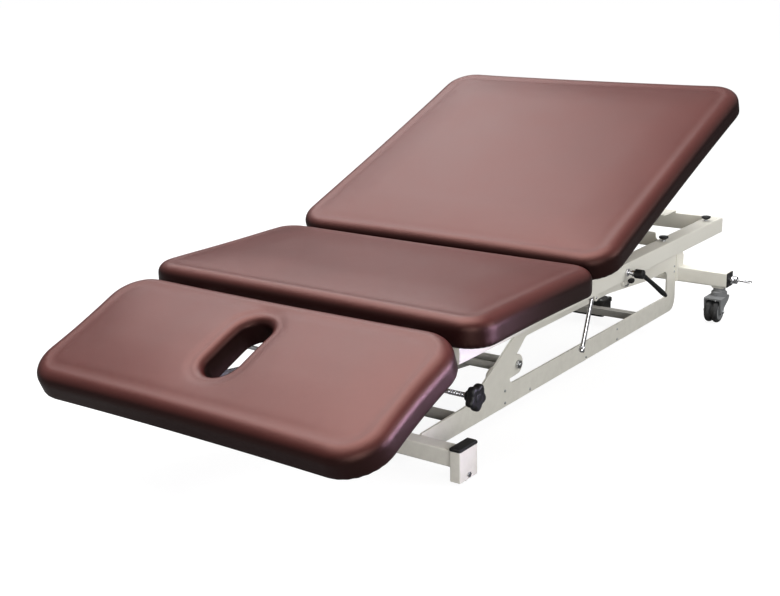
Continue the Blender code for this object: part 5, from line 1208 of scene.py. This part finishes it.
def frame_welds():
    """Weld beads where the frame's tubes and plates meet."""
    top = []
    base = []
    left, right, under, over = -0.5313, -0.4863, 0.0350, 0.0800
    for _, side in SIDES:
        y = side * RAIL_INSIDE
        for x in CROSS_AT:
            top.append([(x + way * CROSS_HALF, y, z) for way, z in (
                (-1, CROSS_TOP), (-1, CROSS_UNDER), (1, CROSS_UNDER), (1, CROSS_TOP))])
        for x, low in ((0.9377, 0.3240), (0.9437, 0.3240), (0.6497, 0.3300), (0.6557, 0.3300)):
            top.append([(x, y, low), (x, y, 0.3600)])
        base.append([(x, side * 0.3510, z) for x, z in (
            (left, under), (left, over), (right, over), (right, under), (left, under))])
        for wall in (PLATE_INSIDE, PLATE_FACE):
            base.append([(-0.4862, side * wall, 0.0370), (-0.4862, side * wall, 0.0780)])
    welds("frame_welds", "upper_frame", top)
    welds("base_welds", "base", base)


def make_fittings():
    for hand, side in SIDES:
        caster_wheel(hand)
        for make in (star_knob, clamp_lever, rail_catch, rail_plug, plunger_details):
            make(hand, side)
        for place in ("front", "rear"):
            bumper("bumper_%s_%s" % (place, hand))
    for make in (control_box_details, actuator_details, release_tip, plate_bolts, board_screws, frame_welds,
                 make_fixings):
        make()


# Rigid pieces with their edges eased


def eased_mesh(source):
    """Merged copy of a solid's mesh with its sharp edges chamfered, or the merged copy where that fails."""
    for width in (EDGE, 0.5 * EDGE, 0.0):
        bm = bmesh.new()
        bm.from_mesh(source)
        bmesh.ops.remove_doubles(bm, verts=bm.verts, dist=MERGE)
        bmesh.ops.dissolve_limit(bm, angle_limit=FLAT, verts=bm.verts, edges=bm.edges)
        volume = bm.calc_volume()
        sharp = [e for e in bm.edges if e.is_manifold and e.is_convex and e.calc_face_angle() > SHARP]
        if width > 0.0 and sharp:
            bmesh.ops.bevel(bm, geom=sharp, offset=width, segments=1, affect="EDGES", clamp_overlap=True)
        whole = all(e.is_manifold for e in bm.edges)
        if width == 0.0 or (whole and abs(bm.calc_volume() - volume) < VOLUME_SLACK * volume):
            return mesh_of(bm)
        bm.free()


def ease_frame():
    """Stands an eased copy in for each rigid solid that nothing else stands for yet."""
    for name, node in frame["nodes"].items():
        if node.hide_render:
            continue
        obj = piece(eased_mesh(node.data), name + "_eased", SLOT_OF[name])
        even = obj.modifiers.new("even", "WEIGHTED_NORMAL")
        even.keep_sharp = True
        mesh = evaluated_mesh(obj)
        obj.modifiers.remove(even)
        obj.data = mesh
        seat(obj, body_of(node)[0], SLOT_OF[name], name)


# Stage


def place_camera():
    camera = linked("camera", bpy.data.cameras.new("camera"))
    camera.data.sensor_fit = "HORIZONTAL"
    camera.data.sensor_width = SENSOR
    camera.data.lens = VIEW_FOCAL * SENSOR / VIEW_WIDTH
    camera.data.clip_end = 60.0
    place = Matrix.Translation(VIEW_FROM)
    for angle, axis in ((VIEW_YAW - 90.0, "Z"), (90.0 - VIEW_PITCH, "X"), (-VIEW_ROLL, "Z")):
        place = place @ Matrix.Rotation(radians(angle), 4, axis)
    camera.matrix_world = place
    bpy.context.scene.camera = camera


def soft_light(name, place, aim, size, power, colour=(1.0, 1.0, 1.0), spread=180.0):
    data = bpy.data.lights.new(name, "AREA")
    data.shape = "RECTANGLE"
    data.size, data.size_y = size
    data.energy = power
    data.color = colour
    data.spread = radians(spread)
    lamp = linked(name, data)
    lamp.location = place
    lamp.rotation_euler = (Vector(aim) - Vector(place)).to_track_quat("-Z", "Y").to_euler()


def pale_floor():
    """Floor that reads near white to the camera and stays duller as a reflector."""
    mat, tree = new_finish("pale_floor", Base_Color=(0.10, 0.10, 0.10, 1), Roughness=0.9, Specular_IOR_Level=0.1)
    matt = add(tree, "ShaderNodeBsdfDiffuse", in_Color=(0.95, 0.95, 0.95, 1))
    glow = add(tree, "ShaderNodeEmission", in_Strength=1.08)
    seen = add(tree, "ShaderNodeMixShader", in_Fac=0.85)
    camera_ray = add(tree, "ShaderNodeLightPath").outputs["Is Camera Ray"]
    pick = add(tree, "ShaderNodeMixShader", in_Fac=camera_ray)
    for node, first, second in ((seen, matt, glow), (pick, tree.nodes["Principled BSDF"], seen)):
        feed(node.inputs[1], first.outputs[0])
        feed(node.inputs[2], second.outputs[0])
    feed(tree.nodes["Material Output"].inputs["Surface"], pick.outputs[0])
    return mat


def set_sky():
    """Sky that grows brighter upwards and reads white to the camera."""
    world = bpy.data.worlds.new("studio")
    world.use_nodes = True
    tree = world.node_tree
    sky = tree.nodes["Background"]
    sky.inputs["Color"].default_value = (1.0, 1.0, 1.0, 1.0)
    where = add(tree, "ShaderNodeTexCoord").outputs["Generated"]
    height = add(tree, "ShaderNodeSeparateXYZ", in_Vector=where).outputs["Z"]
    camera_ray = add(tree, "ShaderNodeLightPath").outputs["Is Camera Ray"]
    glow = ramp(height, 0.0, 0.9, 0.07, 0.80)
    feed(sky.inputs["Strength"], maths("MAXIMUM", glow, camera_ray))
    bpy.context.scene.world = world
    bpy.context.scene.view_settings.view_transform = "Standard"


def set_stage():
    bm = bmesh.new()
    bmesh.ops.create_grid(bm, x_segments=2, y_segments=2, size=FLOOR_HALF)
    floor = linked("floor", mesh_of(bm))
    floor.data.materials.append(pale_floor())
    floor.location.z = FLOOR_DROP
    set_sky()
    soft_light("key", (1.3, 2.3, 3.1), (0.0, 0.0, 0.4), (3.2, 2.0), 66.0)
    soft_light("overhead", (-0.8, 0.4, 4.2), (-0.2, 0.0, 0.4), (4.0, 4.0), 370.0)
    soft_light("fill", (-3.1, -2.5, 1.0), (0.0, 0.0, 0.3), (2.4, 1.2), 58.0)
    soft_light("flank", (0.9, -3.4, 1.8), (0.6, -0.3, 0.3), (2.0, 1.2), 40.0)
    soft_light("side", (-0.30, -1.20, 0.36), (-0.95, -0.5, 0.27), (0.5, 0.3), 2.4, (0.76, 0.66, 1.0), 70.0)


def main():
    place_camera()
    set_stage()
    finish_frame()
    make_cushions()
    make_fittings()
    ease_frame()


main()
